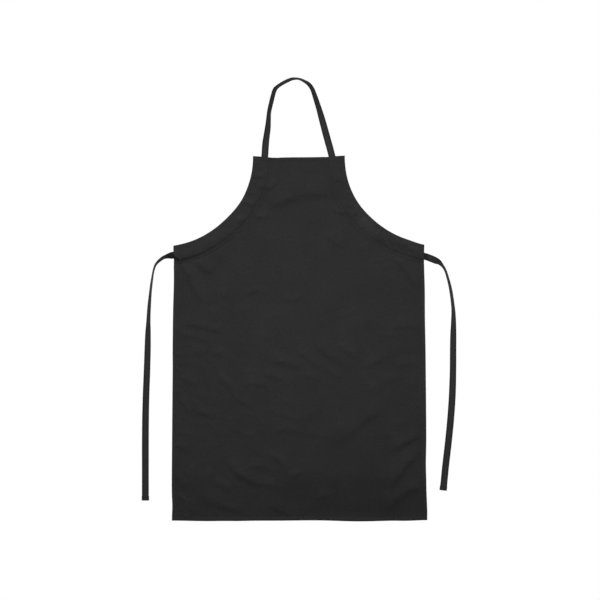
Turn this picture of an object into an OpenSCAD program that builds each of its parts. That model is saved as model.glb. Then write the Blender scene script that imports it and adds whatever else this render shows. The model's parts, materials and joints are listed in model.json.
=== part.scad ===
// Bib apron with one long strap.
// The apron is a single shaped panel of twill. A casing, which is a sewn tunnel, follows the
// curve of each armhole on the back. One flat strap runs up through the first casing, round
// the neck and down through the second one, so that its two ends are the waist ties.
// The apron hangs by the neck loop. +Z is up, the front faces -Y, and the origin is at the
// underside of the strap at the top of the neck loop.

/* [Apron] */
// Width of the bib along its top edge
bib_w = 252; // [246:1:258]
// Width at the waist, between the lower ends of the armholes
waist_w = 692; // [684:2:700]
// Width along the bottom hem
hem_w = 703; // [694:1:720]
// Length from the top of the bib to the bottom hem
apron_len = 1004; // [960:2:1050]
// Height of the bib, from its top edge to the lower ends of the armholes
bib_len = 246; // [240:1:252]
// Depth of the dip along the top edge of the bib
top_dip = 4; // [0:0.5:6]
// Thickness of one layer of the twill
cloth_t = 0.6; // [0.4:0.1:0.8]

/* [Hems] */
// Width of the double-turned hem along each side
side_hem_w = 8; // [6:1:14]
// Width of the double-turned hem along the bottom
bottom_hem_w = 10; // [8:1:20]
// Width of the double-turned hem along the top of the bib
top_hem_w = 11; // [8:1:16]

/* [Casings] */
// Clear width of the casing, from the armhole edge to its inner seam
casing_w = 51; // [49:0.5:54]
// Width of the seam allowance beyond the inner seam
seam_w = 4; // [3:0.5:6]
// Room inside the casing, from the panel to the facing
casing_room = 2.6; // [2.4:0.1:4]
// Depth of the strap's middle inside the casing, from the armhole edge
strap_depth = 30; // [28:0.5:31]

/* [Strap] */
// Width of the strap
strap_w = 19; // [16:0.5:20]
// Thickness of the strap, folded and edge-stitched
strap_t = 0.8; // [0.6:0.1:0.9]
// Height from the top of the bib to the top of the neck loop
neck_drop = 211; // [190:1:240]
// Length of each turned-under strap end
strap_turn_len = 13; // [10:1:18]
// How much wider a turned end is than the strap
strap_turn_flare = 2; // [0:0.5:3]

/* [Hidden] */

twill = [0.16, 0.16, 0.17];
twill_back = [0.2, 0.2, 0.21];
tape = [0.1, 0.1, 0.11];

// Heights of the panel's edges
top_z = -neck_drop;
waist_z = top_z - bib_len;
hem_z = top_z - apron_len;

// Armhole: one curve that leaves the bib straight down and meets the side edge nearly level.
// Each handle is the vector from an end of the curve to its control point.
bib_handle = [-0.5, -149];
waist_handle = [-95, 18];
arm_steps = 40;
arm_ends = [[bib_w / 2, top_z], [waist_w / 2, waist_z]];
arm_run_out = 40;

// Layers from front to back: the panel, the strap's fixed run, its sliding ends, the facing
run_y = 0.2;
slide_y = run_y + strap_t + 0.4;
facing_y = casing_room;
strap_y = slide_y + strap_t / 2;

// Where the two straight ends of the strap slide in each casing, and where they stop
left_hinge_x = 93;
left_mouth_x = 95;
right_hinge_x = 85;
right_mouth_x = 92;
neck_lead_out = 26;
neck_hinge_z = top_z + neck_lead_out;
tie_hinge_out = 5.5;
tie_hinge_x = waist_w / 2 + tie_hinge_out;
hinge_gap = 0.8;
neck_lead_in = 45;
tie_lead_in = 52;
left_tie_drop = 27.5;
right_tie_drop = 32;
tie_slope = tan(10);
run_start = 0.07;
run_end = 0.93;

// Subdivisions of a strap between two points of its route
route_steps = 4;

// Route of the neck loop, from the left lead to the right one. Each point is
// [x, y, z, twist], and the twist turns the flat of the strap from facing the front, at 0,
// to lying over whatever holds it, at 90. It is drawn for leads that end neck_route_depth
// below the top of the loop, and stretched to the height that the loop has.
neck_route_depth = 185;
neck_route = [
    [-left_hinge_x, strap_y, hinge_gap - neck_route_depth, 0], [-91, 1.5, -165, 22], [-86.5, 1, -134, 36],
    [-84.5, 0.5, -112, 45], [-82.5, 0, -88, 56], [-76, 0, -58, 55], [-69, 0, -33, 56],
    [-61, 0, -19, 58], [-48.5, 0, -10.5, 61], [-32, 0, -2.5, 63], [-18, 0, 2.5, 70],
    [-5, 0, 3, 78], [5, 0, 1, 75], [17, 0, -5, 66], [26.5, 0, -13, 60], [36, 0, -25, 54],
    [43.5, 0, -45, 49], [54.5, 0, -79, 40], [64, 0.5, -112, 28], [73, 1, -145, 16],
    [81, 1.5, -172, 6], [right_hinge_x, strap_y, hinge_gap - neck_route_depth, 0]];

// Routes of the ties, from the casing's mouth to the turned end. x is measured outwards and z
// upwards from the lower end of the armhole.
left_tie_route = [
    [tie_hinge_out + hinge_gap, strap_y, -left_tie_drop - 0.3, 0], [11, 2, -28.2, 12],
    [19.5, 2, -30, 48], [30, 2.5, -34, 62], [41.5, 3, -43.5, 72], [48.5, 3.5, -52.5, 77],
    [53.5, 4, -63, 81], [57.5, 4.5, -80, 82], [62, 5, -113, 76], [65.5, 5, -146, 69],
    [68, 5, -179, 62], [69.5, 4.5, -212, 56], [70.5, 4, -245, 42], [71.5, 3.5, -283, 32],
    [73.5, 2.5, -344, 26], [76, 2, -411, 22], [77.5, 2, -477, 16], [78, 2, -543, 8],
    [78, 2, -609, 0], [78, 2, -653, 0], [78, 2, -702, 0]];
right_tie_route = [
    [tie_hinge_out + hinge_gap, strap_y, -right_tie_drop - 0.4, 0], [11, 1.5, -33.8, 6],
    [20, 1, -37.2, 12], [30, 1, -41, 20], [40, 1, -46, 40], [48, 1.5, -54, 62],
    [55, 2, -64.5, 72], [61, 2.5, -80, 74], [70, 3, -113, 70], [76, 3.5, -146, 68],
    [79, 4, -179, 60], [80, 4, -212, 48], [79.5, 3.5, -245, 35], [79, 3, -283, 30],
    [78.5, 2, -344, 26], [76.5, 1.5, -411, 14], [72, 1, -477, 4], [65.5, 1, -543, 0],
    [58.5, 1, -603, 0], [55, 1, -638, 0], [51.3, 1, -675, 0]];

// ---- Curves ----

// Point at t along the cubic curve with the given ends and handles
function cubic(ends, h0, h1, t) =
    let (a = ends[0], b = ends[0] + h0, c = ends[1] + h1, d = ends[1], s = 1 - t)
    s * s * s * a + 3 * s * s * t * b + 3 * s * t * t * c + t * t * t * d;

function arm_point(t) = cubic(arm_ends, bib_handle, waist_handle, t);

// Unit normal of the armhole curve, pointing into the cloth
function arm_normal(t) =
    let (a = arm_point(max(t - 0.01, 0)), b = arm_point(min(t + 0.01, 1)),
         d = (b - a) / norm(b - a))
    [d[1], -d[0]];

// Line inside the armhole at one depth, between two stations of the curve
function inset_line(depth, t0 = 0, t1 = 1) =
    [for (i = [0 : arm_steps])
        let (t = t0 + (t1 - t0) * i / arm_steps) arm_point(t) + depth * arm_normal(t)];

// The same line run out straight past both ends of the armhole
function run_out(line) =
    let (n = len(line) - 1, a = line[0] - line[1], b = line[n] - line[n - 1])
    concat([line[0] + arm_run_out * a / norm(a)], line,
           [line[n] + arm_run_out * b / norm(b)]);

function reversed(list) = [for (i = [len(list) - 1 : -1 : 0]) list[i]];

// Height of the dipped top edge of the bib at x
function top_edge(x) = top_z - top_dip * (1 - pow(2 * x / bib_w, 2));

// ---- Plates that lie in the plane of the apron ----

// An outline drawn in x and z, as a plate from y0 to y1
module plate(y0, y1) {
    translate([0, y1, 0]) rotate([90, 0, 0]) linear_extrude(y1 - y0) children();
}

module panel_outline() {
    top_line = [for (i = [-10 : 10]) let (x = i * bib_w / 20) [x, top_edge(x)]];
    right = inset_line(0);
    polygon(concat(top_line, right, [[hem_w / 2, hem_z], [-hem_w / 2, hem_z]],
                   reversed([for (p = right) [-p[0], p[1]]])));
}

// Strip of the right armhole between two depths, out to the edges of the panel
module casing_strip(depth0, depth1) {
    intersection() {
        polygon(concat(run_out(inset_line(depth0)), reversed(run_out(inset_line(depth1)))));
        panel_outline();
    }
}

// ---- Panel and hems ----

module front_panel() {
    color(twill) plate(-cloth_t, 0) panel_outline();
}

// Region of the panel that a hem may cover, clear of both casings
module hem_region() {
    difference() {
        panel_outline();
        for (side = [0, 1]) mirror([side, 0])
            polygon(concat(run_out(inset_line(-arm_run_out)),
                           reversed(run_out(inset_line(casing_w + seam_w)))));
    }
}

module top_hem() {
    color(twill_back) plate(0, 2 * cloth_t) intersection() {
        hem_region();
        translate([-bib_w / 2, top_z - top_dip - top_hem_w])
            square([bib_w, top_dip + top_hem_w]);
    }
}

module side_hem() {
    lean = atan((hem_w - waist_w) / 2 / (waist_z - hem_z));
    color(twill_back) plate(0, 2 * cloth_t) intersection() {
        hem_region();
        translate([waist_w / 2, waist_z]) rotate(lean)
            translate([-side_hem_w, hem_z - waist_z]) square([side_hem_w + 1, apron_len]);
        translate([0, hem_z + bottom_hem_w]) square([hem_w, apron_len]);
    }
}

module bottom_hem() {
    color(twill_back) plate(0, 2 * cloth_t) intersection() {
        panel_outline();
        translate([-hem_w / 2, hem_z]) square([hem_w, bottom_hem_w]);
    }
}

// ---- Casings ----

// Facing along the armhole: folded edge, back wall, inner seam wall and seam allowance
module facing() {
    edge_t = 2 * cloth_t;
    color(twill_back) {
        plate(0, facing_y + cloth_t) casing_strip(0, edge_t);
        plate(facing_y, facing_y + cloth_t) casing_strip(0, casing_w + cloth_t);
        plate(0, facing_y + cloth_t) casing_strip(casing_w, casing_w + cloth_t);
        plate(0, cloth_t) casing_strip(casing_w, casing_w + seam_w);
    }
}

// The strap's run inside the casing, which is sealed in behind the panel
module casing_strap() {
    inner = inset_line(strap_depth + strap_w / 2, run_start, run_end);
    outer = inset_line(strap_depth - strap_w / 2, run_start, run_end);
    color(tape) plate(run_y, run_y + strap_t) polygon(concat(inner, reversed(outer)));
}

// ---- Straps ----

// Straight end that slides in the top of a casing and carries the neck loop
module neck_lead(x_hinge, x_mouth) {
    half = [strap_w / 2, 0];
    mid = [[x_hinge, neck_hinge_z - hinge_gap], [x_mouth, top_z - top_dip],
           [x_mouth + 1, top_z - neck_lead_in]];
    color(tape) plate(slide_y, slide_y + strap_t)
        polygon(concat([for (p = mid) p - half], reversed([for (p = mid) p + half])));
}

// Straight end that slides in the side of a casing and carries a tie
module tie_lead(drop) {
    z_hinge = waist_z - drop;
    half = [0, strap_w / 2];
    x_out = tie_hinge_x - hinge_gap;
    x_in = x_out - tie_lead_in;
    mid = [[x_in, z_hinge + tie_slope * tie_lead_in], [x_out, z_hinge]];
    color(tape) plate(slide_y, slide_y + strap_t)
        polygon(concat([for (p = mid) p - half], reversed([for (p = mid) p + half])));
}

// Smooth curve through the points of a route, with route_steps pieces for each stretch
function spline(p) =
    let (n = len(p) - 1)
    concat([for (i = [0 : n - 1]) for (k = [0 : route_steps - 1])
        let (u = k / route_steps, a = p[max(i - 1, 0)], b = p[i], c = p[i + 1],
             d = p[min(i + 2, n)])
        0.5 * (2 * b + u * (c - a) + u * u * (2 * a - 5 * b + 4 * c - d)
               + u * u * u * (3 * b - a - 3 * c + d))],
        [p[n]]);

function place(q) = [q[0], q[1], q[2]];
function unit(v) = v / norm(v);

// Direction of a swept strap at station i. The first and the last may be given, so that an end
// face stands square to the piece that it meets.
function heading(q, i, first, last) =
    let (n = len(q) - 1)
    i == 0 ? first : i == n && last != undef ? last
    : unit(place(q[min(i + 1, n)]) - place(q[i - 1]));

// Flat strap swept along a route: each ring is a rectangle whose width is turned by the twist
// from the plane of the apron towards the Y axis
module strap(route, first, last) {
    q = spline(route);
    n = len(q);
    rings = [for (i = [0 : n - 1])
        let (along = heading(q, i, first, last),
             in_plane = unit([along[2], 0, -along[0]]),
             wide = in_plane * cos(q[i][3]) + [0, 1, 0] * sin(q[i][3]),
             thick = unit(cross(along, wide)),
             w = wide * strap_w / 2, t = thick * strap_t / 2, c = place(q[i]))
        each [c - w - t, c + w - t, c + w + t, c - w + t]];
    sides = [for (i = [0 : n - 2]) for (k = [0 : 3])
        let (a = 4 * i + k, b = 4 * i + (k + 1) % 4)
        each [[a, b, b + 4], [a, b + 4, a + 4]]];
    end = 4 * (n - 1);
    color(tape) polyhedron(rings, concat([[3, 2, 1, 0]], sides,
                                         [[end, end + 1, end + 2, end + 3]]), 4);
}

module neck_strap() {
    stretch = -neck_hinge_z / neck_route_depth;
    strap([for (q = neck_route) [q[0], q[1], q[2] * stretch, q[3]]], [0, 0, 1], [0, 0, -1]);
}

// A tie's route, moved to the lower end of the armhole
function at_waist(route) = [for (q = route) q + [waist_w / 2, 0, waist_z, 0]];

// The ties' routes are drawn to the right, and the left one is mirrored
module tie(route) {
    strap(at_waist(route), [1, 0, 0]);
}

// Turned-under end of a tie, which flares a little where the strap is folded double
module turned_end(route) {
    q = at_waist(route);
    n = len(q) - 1;
    tip = [q[n][0], q[n][2]];
    up = unit([q[n - 1][0], q[n - 1][2]] - tip);
    across = [up[1], -up[0]];
    back_y = q[n][1] + strap_t / 2;
    wide = (strap_w + strap_turn_flare) / 2;
    narrow = strap_w / 2;
    top = tip + up * strap_turn_len;
    color(tape) plate(back_y, back_y + strap_t)
        polygon([tip - across * wide, top - across * narrow,
                 top + across * narrow, tip + across * wide]);
}

module to_left() {
    mirror([1, 0, 0]) children();
}

front_panel();
top_hem();
to_left() side_hem();  // left_side_hem
side_hem();  // right_side_hem
bottom_hem();
to_left() facing();  // left_facing
facing();  // right_facing
to_left() casing_strap();  // left_casing_strap
casing_strap();  // right_casing_strap
neck_strap();
to_left() neck_lead(left_hinge_x, left_mouth_x);  // left_neck_lead
neck_lead(right_hinge_x, right_mouth_x);  // right_neck_lead
to_left() tie_lead(left_tie_drop);  // left_tie_lead
tie_lead(right_tie_drop);  // right_tie_lead
to_left() tie(left_tie_route);  // left_tie
tie(right_tie_route);  // right_tie
to_left() turned_end(left_tie_route);  // left_tie_turned_end
turned_end(right_tie_route);  // right_tie_turned_end
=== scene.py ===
# %% [markdown]
# A black bib apron, hung by its neck loop.
# The real thing is one shaped panel of twill with narrow hems, a facing stitched along each
# armhole so that it makes a tunnel (the casing), and one long flat strap that runs through both
# tunnels: its middle is the neck loop and its ends are the waist ties.
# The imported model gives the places, the bodies and the joints. This script adds the looks: how
# the cloth hangs, its creases and puckers, the turned edges, the thread and the weave.

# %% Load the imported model
import json
import math

import bpy
import numpy as np
from mathutils import Vector
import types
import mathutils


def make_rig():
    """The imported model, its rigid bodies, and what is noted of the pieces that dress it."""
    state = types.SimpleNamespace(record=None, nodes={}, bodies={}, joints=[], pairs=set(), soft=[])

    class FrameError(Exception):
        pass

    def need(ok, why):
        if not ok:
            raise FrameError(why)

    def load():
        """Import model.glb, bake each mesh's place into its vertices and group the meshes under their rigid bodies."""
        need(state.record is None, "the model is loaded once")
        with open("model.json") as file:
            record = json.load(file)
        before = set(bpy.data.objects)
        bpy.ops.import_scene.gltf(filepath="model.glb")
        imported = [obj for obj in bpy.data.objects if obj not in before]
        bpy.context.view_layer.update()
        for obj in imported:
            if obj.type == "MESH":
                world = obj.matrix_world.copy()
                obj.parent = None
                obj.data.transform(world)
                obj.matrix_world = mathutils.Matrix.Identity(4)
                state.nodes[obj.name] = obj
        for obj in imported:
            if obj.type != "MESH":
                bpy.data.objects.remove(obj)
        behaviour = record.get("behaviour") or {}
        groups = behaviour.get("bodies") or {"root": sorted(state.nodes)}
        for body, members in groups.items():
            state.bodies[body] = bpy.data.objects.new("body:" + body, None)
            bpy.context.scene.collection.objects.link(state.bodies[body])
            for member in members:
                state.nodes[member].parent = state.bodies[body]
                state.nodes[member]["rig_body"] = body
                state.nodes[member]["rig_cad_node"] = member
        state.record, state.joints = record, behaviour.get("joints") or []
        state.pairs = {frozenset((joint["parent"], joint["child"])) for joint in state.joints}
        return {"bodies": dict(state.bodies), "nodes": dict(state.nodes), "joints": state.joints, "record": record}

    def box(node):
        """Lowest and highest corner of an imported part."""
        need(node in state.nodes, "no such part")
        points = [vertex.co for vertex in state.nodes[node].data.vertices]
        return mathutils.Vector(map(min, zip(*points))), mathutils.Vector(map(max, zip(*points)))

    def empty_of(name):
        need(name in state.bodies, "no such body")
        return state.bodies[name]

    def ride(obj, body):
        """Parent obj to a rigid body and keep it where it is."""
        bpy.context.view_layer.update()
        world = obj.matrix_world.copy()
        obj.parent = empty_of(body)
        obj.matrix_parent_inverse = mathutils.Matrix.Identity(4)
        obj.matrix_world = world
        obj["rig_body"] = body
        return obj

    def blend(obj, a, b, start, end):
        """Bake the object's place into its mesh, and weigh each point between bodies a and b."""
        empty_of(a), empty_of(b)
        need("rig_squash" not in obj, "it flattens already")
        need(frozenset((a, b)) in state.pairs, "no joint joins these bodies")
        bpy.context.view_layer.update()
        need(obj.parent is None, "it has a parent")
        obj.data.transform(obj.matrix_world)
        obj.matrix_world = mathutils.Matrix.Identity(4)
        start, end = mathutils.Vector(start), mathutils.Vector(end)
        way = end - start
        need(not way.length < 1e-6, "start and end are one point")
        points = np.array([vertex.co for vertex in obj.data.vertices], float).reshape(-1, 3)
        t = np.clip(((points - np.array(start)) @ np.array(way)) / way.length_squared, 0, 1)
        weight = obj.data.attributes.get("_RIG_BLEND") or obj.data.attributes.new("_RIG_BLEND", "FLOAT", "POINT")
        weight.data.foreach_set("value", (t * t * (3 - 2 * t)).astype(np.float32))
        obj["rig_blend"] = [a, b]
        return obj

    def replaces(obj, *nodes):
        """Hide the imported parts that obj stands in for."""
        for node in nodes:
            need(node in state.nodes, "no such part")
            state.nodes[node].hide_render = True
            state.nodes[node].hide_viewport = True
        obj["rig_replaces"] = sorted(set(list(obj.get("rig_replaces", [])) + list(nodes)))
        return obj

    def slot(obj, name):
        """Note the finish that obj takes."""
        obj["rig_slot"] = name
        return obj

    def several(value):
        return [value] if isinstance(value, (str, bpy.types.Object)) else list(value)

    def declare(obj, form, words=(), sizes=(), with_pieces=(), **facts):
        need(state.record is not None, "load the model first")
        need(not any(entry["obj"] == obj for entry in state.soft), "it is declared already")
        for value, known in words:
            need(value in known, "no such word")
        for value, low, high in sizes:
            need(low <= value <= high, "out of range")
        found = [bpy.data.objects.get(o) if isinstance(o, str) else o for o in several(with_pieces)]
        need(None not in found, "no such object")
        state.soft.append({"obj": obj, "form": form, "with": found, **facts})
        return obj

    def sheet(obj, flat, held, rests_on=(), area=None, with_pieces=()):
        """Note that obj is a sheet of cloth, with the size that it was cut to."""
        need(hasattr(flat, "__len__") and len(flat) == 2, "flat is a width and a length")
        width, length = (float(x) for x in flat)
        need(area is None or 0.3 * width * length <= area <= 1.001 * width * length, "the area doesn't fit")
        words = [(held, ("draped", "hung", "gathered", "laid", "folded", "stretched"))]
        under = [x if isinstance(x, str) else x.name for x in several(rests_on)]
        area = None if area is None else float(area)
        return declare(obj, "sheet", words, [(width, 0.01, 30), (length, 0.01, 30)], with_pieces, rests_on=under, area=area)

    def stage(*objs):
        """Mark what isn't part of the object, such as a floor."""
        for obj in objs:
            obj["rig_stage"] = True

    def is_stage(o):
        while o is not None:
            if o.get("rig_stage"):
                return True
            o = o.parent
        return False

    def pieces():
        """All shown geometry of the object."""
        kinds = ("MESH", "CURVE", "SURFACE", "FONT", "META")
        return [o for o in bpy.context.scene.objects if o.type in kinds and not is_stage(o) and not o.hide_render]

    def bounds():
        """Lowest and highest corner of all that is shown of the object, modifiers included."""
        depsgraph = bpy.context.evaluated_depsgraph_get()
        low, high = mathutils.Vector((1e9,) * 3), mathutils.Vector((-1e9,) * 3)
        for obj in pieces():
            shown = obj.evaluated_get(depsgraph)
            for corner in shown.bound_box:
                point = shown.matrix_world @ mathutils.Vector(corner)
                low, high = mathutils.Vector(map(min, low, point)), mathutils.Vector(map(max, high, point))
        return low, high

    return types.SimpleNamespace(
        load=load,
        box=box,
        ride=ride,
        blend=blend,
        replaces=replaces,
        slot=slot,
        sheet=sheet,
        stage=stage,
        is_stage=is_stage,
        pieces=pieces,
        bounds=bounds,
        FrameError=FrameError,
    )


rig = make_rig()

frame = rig.load()
cad_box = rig.bounds()
print("bodies:", sorted(frame["bodies"]))
print("nodes:", len(frame["nodes"]))

# %% [markdown]
# Every size below is in millimetres, because that is how a pattern cutter thinks, and MM turns
# it into Blender's metres. The panel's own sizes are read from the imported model, so that the
# cloth always lies where the construction says. x runs to the right and z upwards, and the
# front of the apron looks towards minus y. A depth is measured inwards from an armhole.

# %% Driving sizes
MM = 0.001
panel_low, panel_high = (np.array(corner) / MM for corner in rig.box("front_panel"))
HEM_Z, TOP_Z, HEM_HALF = panel_low[2], panel_high[2], panel_high[0]
WAIST_HALF, BIB_HALF, BIB_LENGTH = 346.0, 126.0, 246.0
WAIST_Z = TOP_Z - BIB_LENGTH
CLOTH = 0.6
SIDE_HEM, BOTTOM_HEM, TOP_HEM = 8.0, 10.0, 11.0
# Depths of the casing's two rows of stitches, and of the line where its part of the grid ends.
CASING_ROWS, CASING_DEPTH = (44.0, 52.0), 54.5
print(f"panel {2 * HEM_HALF:.0f} mm wide at the hem, {TOP_Z - HEM_Z:.0f} mm long")

# %% [markdown]
# The camera comes first. The apron is seen square from the front, from about four metres, with
# a long lens, so its sides stay parallel. It hangs in a white room. The key lamp is soft and
# hangs high up in front, because black cloth shows its creases only where light rakes across
# it. A weak lamp straight in front softens the shadows, and a third one lights the back.

# %% Camera and light
VIEW_CENTRE = np.array([2.5, 0.0, -607.0]) * MM
VIEW_WIDTH = 1.654
LENS, SENSOR = 85.0, 36.0
distance = VIEW_WIDTH / 2 / (SENSOR / 2 / LENS)

camera = bpy.data.objects.new("camera", bpy.data.cameras.new("camera"))
camera.data.lens = LENS
camera.data.sensor_width = SENSOR
camera.location = VIEW_CENTRE + np.array([0, -distance, 0])
camera.rotation_euler = (math.radians(90), 0, 0)
bpy.context.scene.collection.objects.link(camera)
bpy.context.scene.camera = camera


def lamp(name, place, size, power):
    """A square area light at a place in metres, turned to the middle of the apron."""
    data = bpy.data.lights.new(name, "AREA")
    data.size = size
    data.energy = power
    light = bpy.data.objects.new(name, data)
    light.location = place
    aim = Vector(VIEW_CENTRE) - light.location
    light.rotation_euler = aim.to_track_quat("-Z", "Y").to_euler()
    light.visible_camera = False
    bpy.context.scene.collection.objects.link(light)


lamp("key_light", (-0.3, -1.85, 3.9), 1.2, 388)
lamp("fill_light", (0.0, -1.1, -0.5), 0.6, 13.8)
lamp("back_light", (0.5, 2.4, 2.4), 1.2, 330)

world = bpy.data.worlds.new("white_room")
world.use_nodes = True
world.node_tree.nodes["Background"].inputs["Color"].default_value = (1, 1, 1, 1)
world.node_tree.nodes["Background"].inputs["Strength"].default_value = 1.0
bpy.context.scene.world = world
bpy.context.scene.view_settings.view_transform = "Standard"
print(f"camera {distance:.2f} m in front of the apron")

# %% [markdown]
# Meshes here are made in whole arrays. A piece of cloth starts as one layer: a grid of points
# and the quads between them. A Solidify modifier could give it thickness, but its back would
# copy the front. Here the layer is put once to the front and once to the back, each with its
# own relief, and every edge that belongs to only one quad gets a small quad that closes the rim.

# %% Cloth with thickness, from a single layer


def quads_of(index):
    """Quads between the neighbours of a grid of point numbers. With rows running down and
    columns to the right, the quads face the front."""
    a, b, c, d = index[:-1, :-1], index[1:, :-1], index[1:, 1:], index[:-1, 1:]
    return np.stack([a, b, c, d], axis=-1).reshape(-1, 4)


def counted(rows, cols, first=0):
    """A grid of point numbers, counted row by row from first."""
    return first + np.arange(rows * cols).reshape(rows, cols)


def rim_edges(quads):
    """Edges that only one quad uses, in the direction in which that quad runs round."""
    edges = np.concatenate([quads[:, [k, (k + 1) % 4]] for k in range(4)])
    _, where, count = np.unique(np.sort(edges, axis=1), axis=0,
                                return_index=True, return_counts=True)
    return edges[where[count == 1]]


def make_object(name, points, faces, uv=None, sharp=50):
    """An object from points in metres and an array of faces. uv is one pair for each point, in
    metres along the cloth. Edges sharper than the given angle stay crisp."""
    mesh = bpy.data.meshes.new(name)
    mesh.from_pydata(points.tolist(), [], faces.tolist())
    mesh.polygons.foreach_set("use_smooth", np.ones(len(mesh.polygons), bool))
    mesh.set_sharp_from_angle(angle=math.radians(sharp))
    if uv is not None:
        corners = np.zeros(len(mesh.loops), np.int32)
        mesh.loops.foreach_get("vertex_index", corners)
        layer = mesh.uv_layers.new(name="cloth")
        layer.data.foreach_set("uv", uv[corners].astype(np.float32).ravel())
    mesh.update()
    piece = bpy.data.objects.new(name, mesh)
    bpy.context.scene.collection.objects.link(piece)
    return piece


def closed_cloth(name, front, back, quads, uv):
    """A closed shell from the front and the back position of every point of one layer."""
    n = len(front)
    rim = rim_edges(quads)
    walls = np.stack([rim[:, 1], rim[:, 0], rim[:, 0] + n, rim[:, 1] + n], axis=1)
    faces = np.concatenate([quads, quads[:, ::-1] + n, walls])
    piece = make_object(name, np.concatenate([front, back]) * MM, faces,
                        np.concatenate([uv, uv]) * MM)
    print(f"{name}: {len(faces)} faces")
    return piece


# %% [markdown]
# Nearly every form below is a sum of soft steps and bells. Real cloth has no sudden corners, and
# a curve drawn by hand would have to be drawn again for each change, so these four small tools
# come first.

# %% Soft steps, bells and distances


def smooth(x, low=0.0, high=1.0):
    """0 below low, 1 above high, and a soft step between them."""
    u = np.clip((x - low) / (high - low), 0, 1)
    return u * u * (3 - 2 * u)


def bell(x, width):
    """1 at 0, falling off to both sides over about the width."""
    return np.exp(-((x / width) ** 2))


def normalised(v):
    """Vectors of unit length."""
    return v / np.linalg.norm(v, axis=-1, keepdims=True)


def distances(line):
    """Distance of each point of a line from its first, measured along it."""
    return np.concatenate([[0], np.cumsum(np.linalg.norm(np.diff(line, axis=0), axis=1))])


print("a soft step from 0 to 1:", smooth(np.linspace(0, 1, 5)))
print("a bell of width 1:", bell(np.linspace(0, 2, 5), 1).round(2))

# %% [markdown]
# The armhole is one smooth curve: a cubic that leaves the bib's corner straight down and meets
# the side edge nearly level. A curve object could draw it, but a formula can be asked for more:
# everything on the casing is a pair, how far along the curve and how deep in from it, and the
# formula turns any pair into a place.

# %% The armhole curve
ARM_ENDS = np.array([[BIB_HALF, TOP_Z], [WAIST_HALF, WAIST_Z]])
BIB_HANDLE = np.array([-0.5, -149.0])
WAIST_HANDLE = np.array([-95.0, 18.0])


def arm_point(t):
    """The cubic with its two ends and two handles, at t from 0 at the bib to 1 at the waist."""
    t = np.asarray(t)[..., None]
    a, d = ARM_ENDS
    b, c = a + BIB_HANDLE, d + WAIST_HANDLE
    s = 1 - t
    return s**3 * a + 3 * s * s * t * b + 3 * s * t * t * c + t**3 * d


def arm_inward(t):
    """Unit direction into the cloth: square to the curve, and turned to run along the side
    edge where the casing ends there."""
    ahead, behind = arm_point(np.minimum(t + 0.01, 1)), arm_point(np.maximum(t - 0.01, 0))
    along = ahead - behind
    square = normalised(np.stack([along[..., 1], -along[..., 0]], axis=-1))
    side = normalised(np.array([HEM_HALF - WAIST_HALF, HEM_Z - WAIST_Z]))
    share = smooth(np.asarray(t), 0.8, 1.0)[..., None]
    return normalised(square * (1 - share) + side * share)


ARC_T = np.linspace(0, 1, 2000)
ARC_S = distances(arm_point(ARC_T))
ARM_LENGTH = ARC_S[-1]


def casing_place(along, depth):
    """Flat place (x, z) on the right half, from the distance along the armhole and the depth."""
    t = np.interp(along, ARC_S, ARC_T)
    return arm_point(t) + arm_inward(t) * np.asarray(depth)[..., None]


print(f"armhole {ARM_LENGTH:.0f} mm long")

# %% [markdown]
# How the cloth hangs is one height field: for any place (x, z) on the flat pattern it gives how
# far the cloth stands forward of the flat plane. The panel, the hems, the facings and the
# thread all read the same field, so they stay together. A cloth simulation could drape the
# panel too, but its creases would fall where they like, and here each large one has its own
# place. The field adds up listed creases, a net of small crumples, short random creases, the
# faint lines where the apron was pressed flat, and slow waves.

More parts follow.
